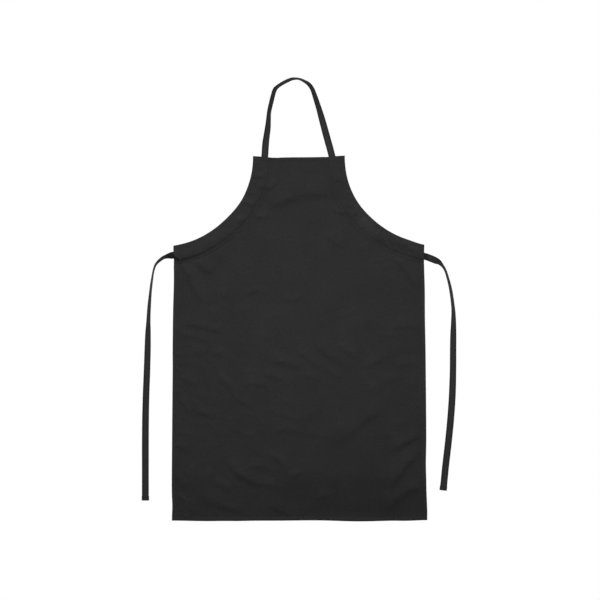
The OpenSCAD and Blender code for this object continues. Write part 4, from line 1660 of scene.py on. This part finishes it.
# Each tie is painted shade-black near its mouth, where the attribute is 0, and faded beyond.
for made in ties:
    places = point_places(made["strap"])
    lower = np.clip(-places[:, 2] - FADED_BELOW, 0, FADED_OVER)
    start, over = SHADE_ENDS[made["word"]]
    wear_and_painted_light = smooth(np.abs(places[:, 0]) + lower, start, start + over)
    add_wear_and_painted_light(made["strap"], wear_and_painted_light)
    add_wear_and_painted_light(made["end"], 1)
    print(f"{made['word']} tie: {100 * wear_and_painted_light.mean():.0f}% of its points are faded")
add_wear_and_painted_light(neck, 1)
# The strap inside the casings is painted shade-black all along, as the shade in the tunnel.
for piece in runs:
    add_wear_and_painted_light(piece, 0)

# %% [markdown]
# Each piece gets the finish of what it is cut from: three finishes for nineteen pieces.

# %% Finishes on the pieces
straps = [neck, *runs, *(made["strap"] for made in ties), *(made["end"] for made in ties)]
threads = [casing_thread, hem_thread, neck_thread, *(made["thread"] for made in ties)]
for finish, pieces in ((cloth_material, [panel, left_facing, right_facing, *hems]),
                       (strap_material, straps), (thread_material, threads)):
    for piece in pieces:
        piece.data.materials.append(finish)
    print(f"{finish.name} on {len(pieces)} pieces")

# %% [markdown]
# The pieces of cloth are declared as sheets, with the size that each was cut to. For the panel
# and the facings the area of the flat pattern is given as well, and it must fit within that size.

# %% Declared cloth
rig.sheet(panel, flat=(2 * HEM_HALF * MM, (TOP_Z - HEM_Z) * MM), held="hung",
         rests_on=["neck_strap_tape"], area=panel_area * 1e-6,
         with_pieces=[*hems, casing_thread, hem_thread])
grid = np.meshgrid(arm_along, [0, FACING_WIDTH / 2, FACING_WIDTH], indexing="ij")
facing_plan = casing_place(*grid)
facing_length = distances(facing_plan[:, 1])[-1]
facing_area = flat_area(facing_plan.reshape(-1, 2), quads_of(counted(*grid[0].shape)))
for piece in (left_facing, right_facing):
    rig.sheet(piece, flat=(FACING_WIDTH * MM, facing_length * MM), held="hung",
             rests_on=["apron_panel"], area=facing_area * 1e-6)
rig.sheet(neck, flat=(STRAP_WIDTH * MM, neck_run[-1] * MM), held="hung",
         rests_on=["apron_panel"], with_pieces=[neck_thread])
for made in ties:
    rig.sheet(made["strap"], flat=(STRAP_WIDTH * MM, made["run"][-1] * MM), held="hung",
             rests_on=["apron_panel"], with_pieces=[made["end"], made["thread"]])
for piece in runs:
    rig.sheet(piece, flat=(STRAP_WIDTH * MM, hidden_length * MM), held="hung",
             rests_on=["apron_panel"])
print(f"a facing is {FACING_WIDTH} by {facing_length:.0f} mm, {facing_area / 100:.0f} cm2")

# %% [markdown]
# A pale floor stands well below the hem. It is out of the front view, and in the other views it
# gives the apron a ground to hang over. Its slightly uneven grey keeps it from looking cut out.

# %% Floor
FLOOR_SIDE, FLOOR_FRONT, FLOOR_BACK, FLOOR_Z = 1150, -1100, 1150, -1700.0
DARK_FLOOR, PALE_FLOOR = (0.38, 0.38, 0.38), (0.42, 0.42, 0.42)

corners = np.array([[-FLOOR_SIDE, FLOOR_FRONT, FLOOR_Z], [FLOOR_SIDE, FLOOR_FRONT, FLOOR_Z],
                    [FLOOR_SIDE, FLOOR_BACK, FLOOR_Z], [-FLOOR_SIDE, FLOOR_BACK, FLOOR_Z]]) * MM
floor = make_object("floor", corners, np.array([[0, 1, 2, 3]]))
floor_finish = Finish("pale_floor")
floor_tone = floor_finish.noise(floor_finish.object_place(), 3, 4)
floor_colour = floor_finish.mix(floor_tone, DARK_FLOOR, PALE_FLOOR)
floor_finish.set(Base_Color=floor_colour, Roughness=0.9)
floor.data.materials.append(floor_finish.material)
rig.stage(floor)
print(f"floor {HEM_Z - FLOOR_Z:.0f} mm below the hem")

# %% [markdown]
# The last step measures the dressed apron next to the imported model and writes both boxes to extents.json.

# %% Size, and the end
now_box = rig.bounds()
size = {"cad": [list(corner) for corner in cad_box], "now": [list(corner) for corner in now_box]}
with open("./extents.json", "w") as out:
    json.dump(size, out)
print("cad box", [[round(v * 1000) for v in corner] for corner in size["cad"]])
print("new box", [[round(v * 1000) for v in corner] for corner in size["now"]])
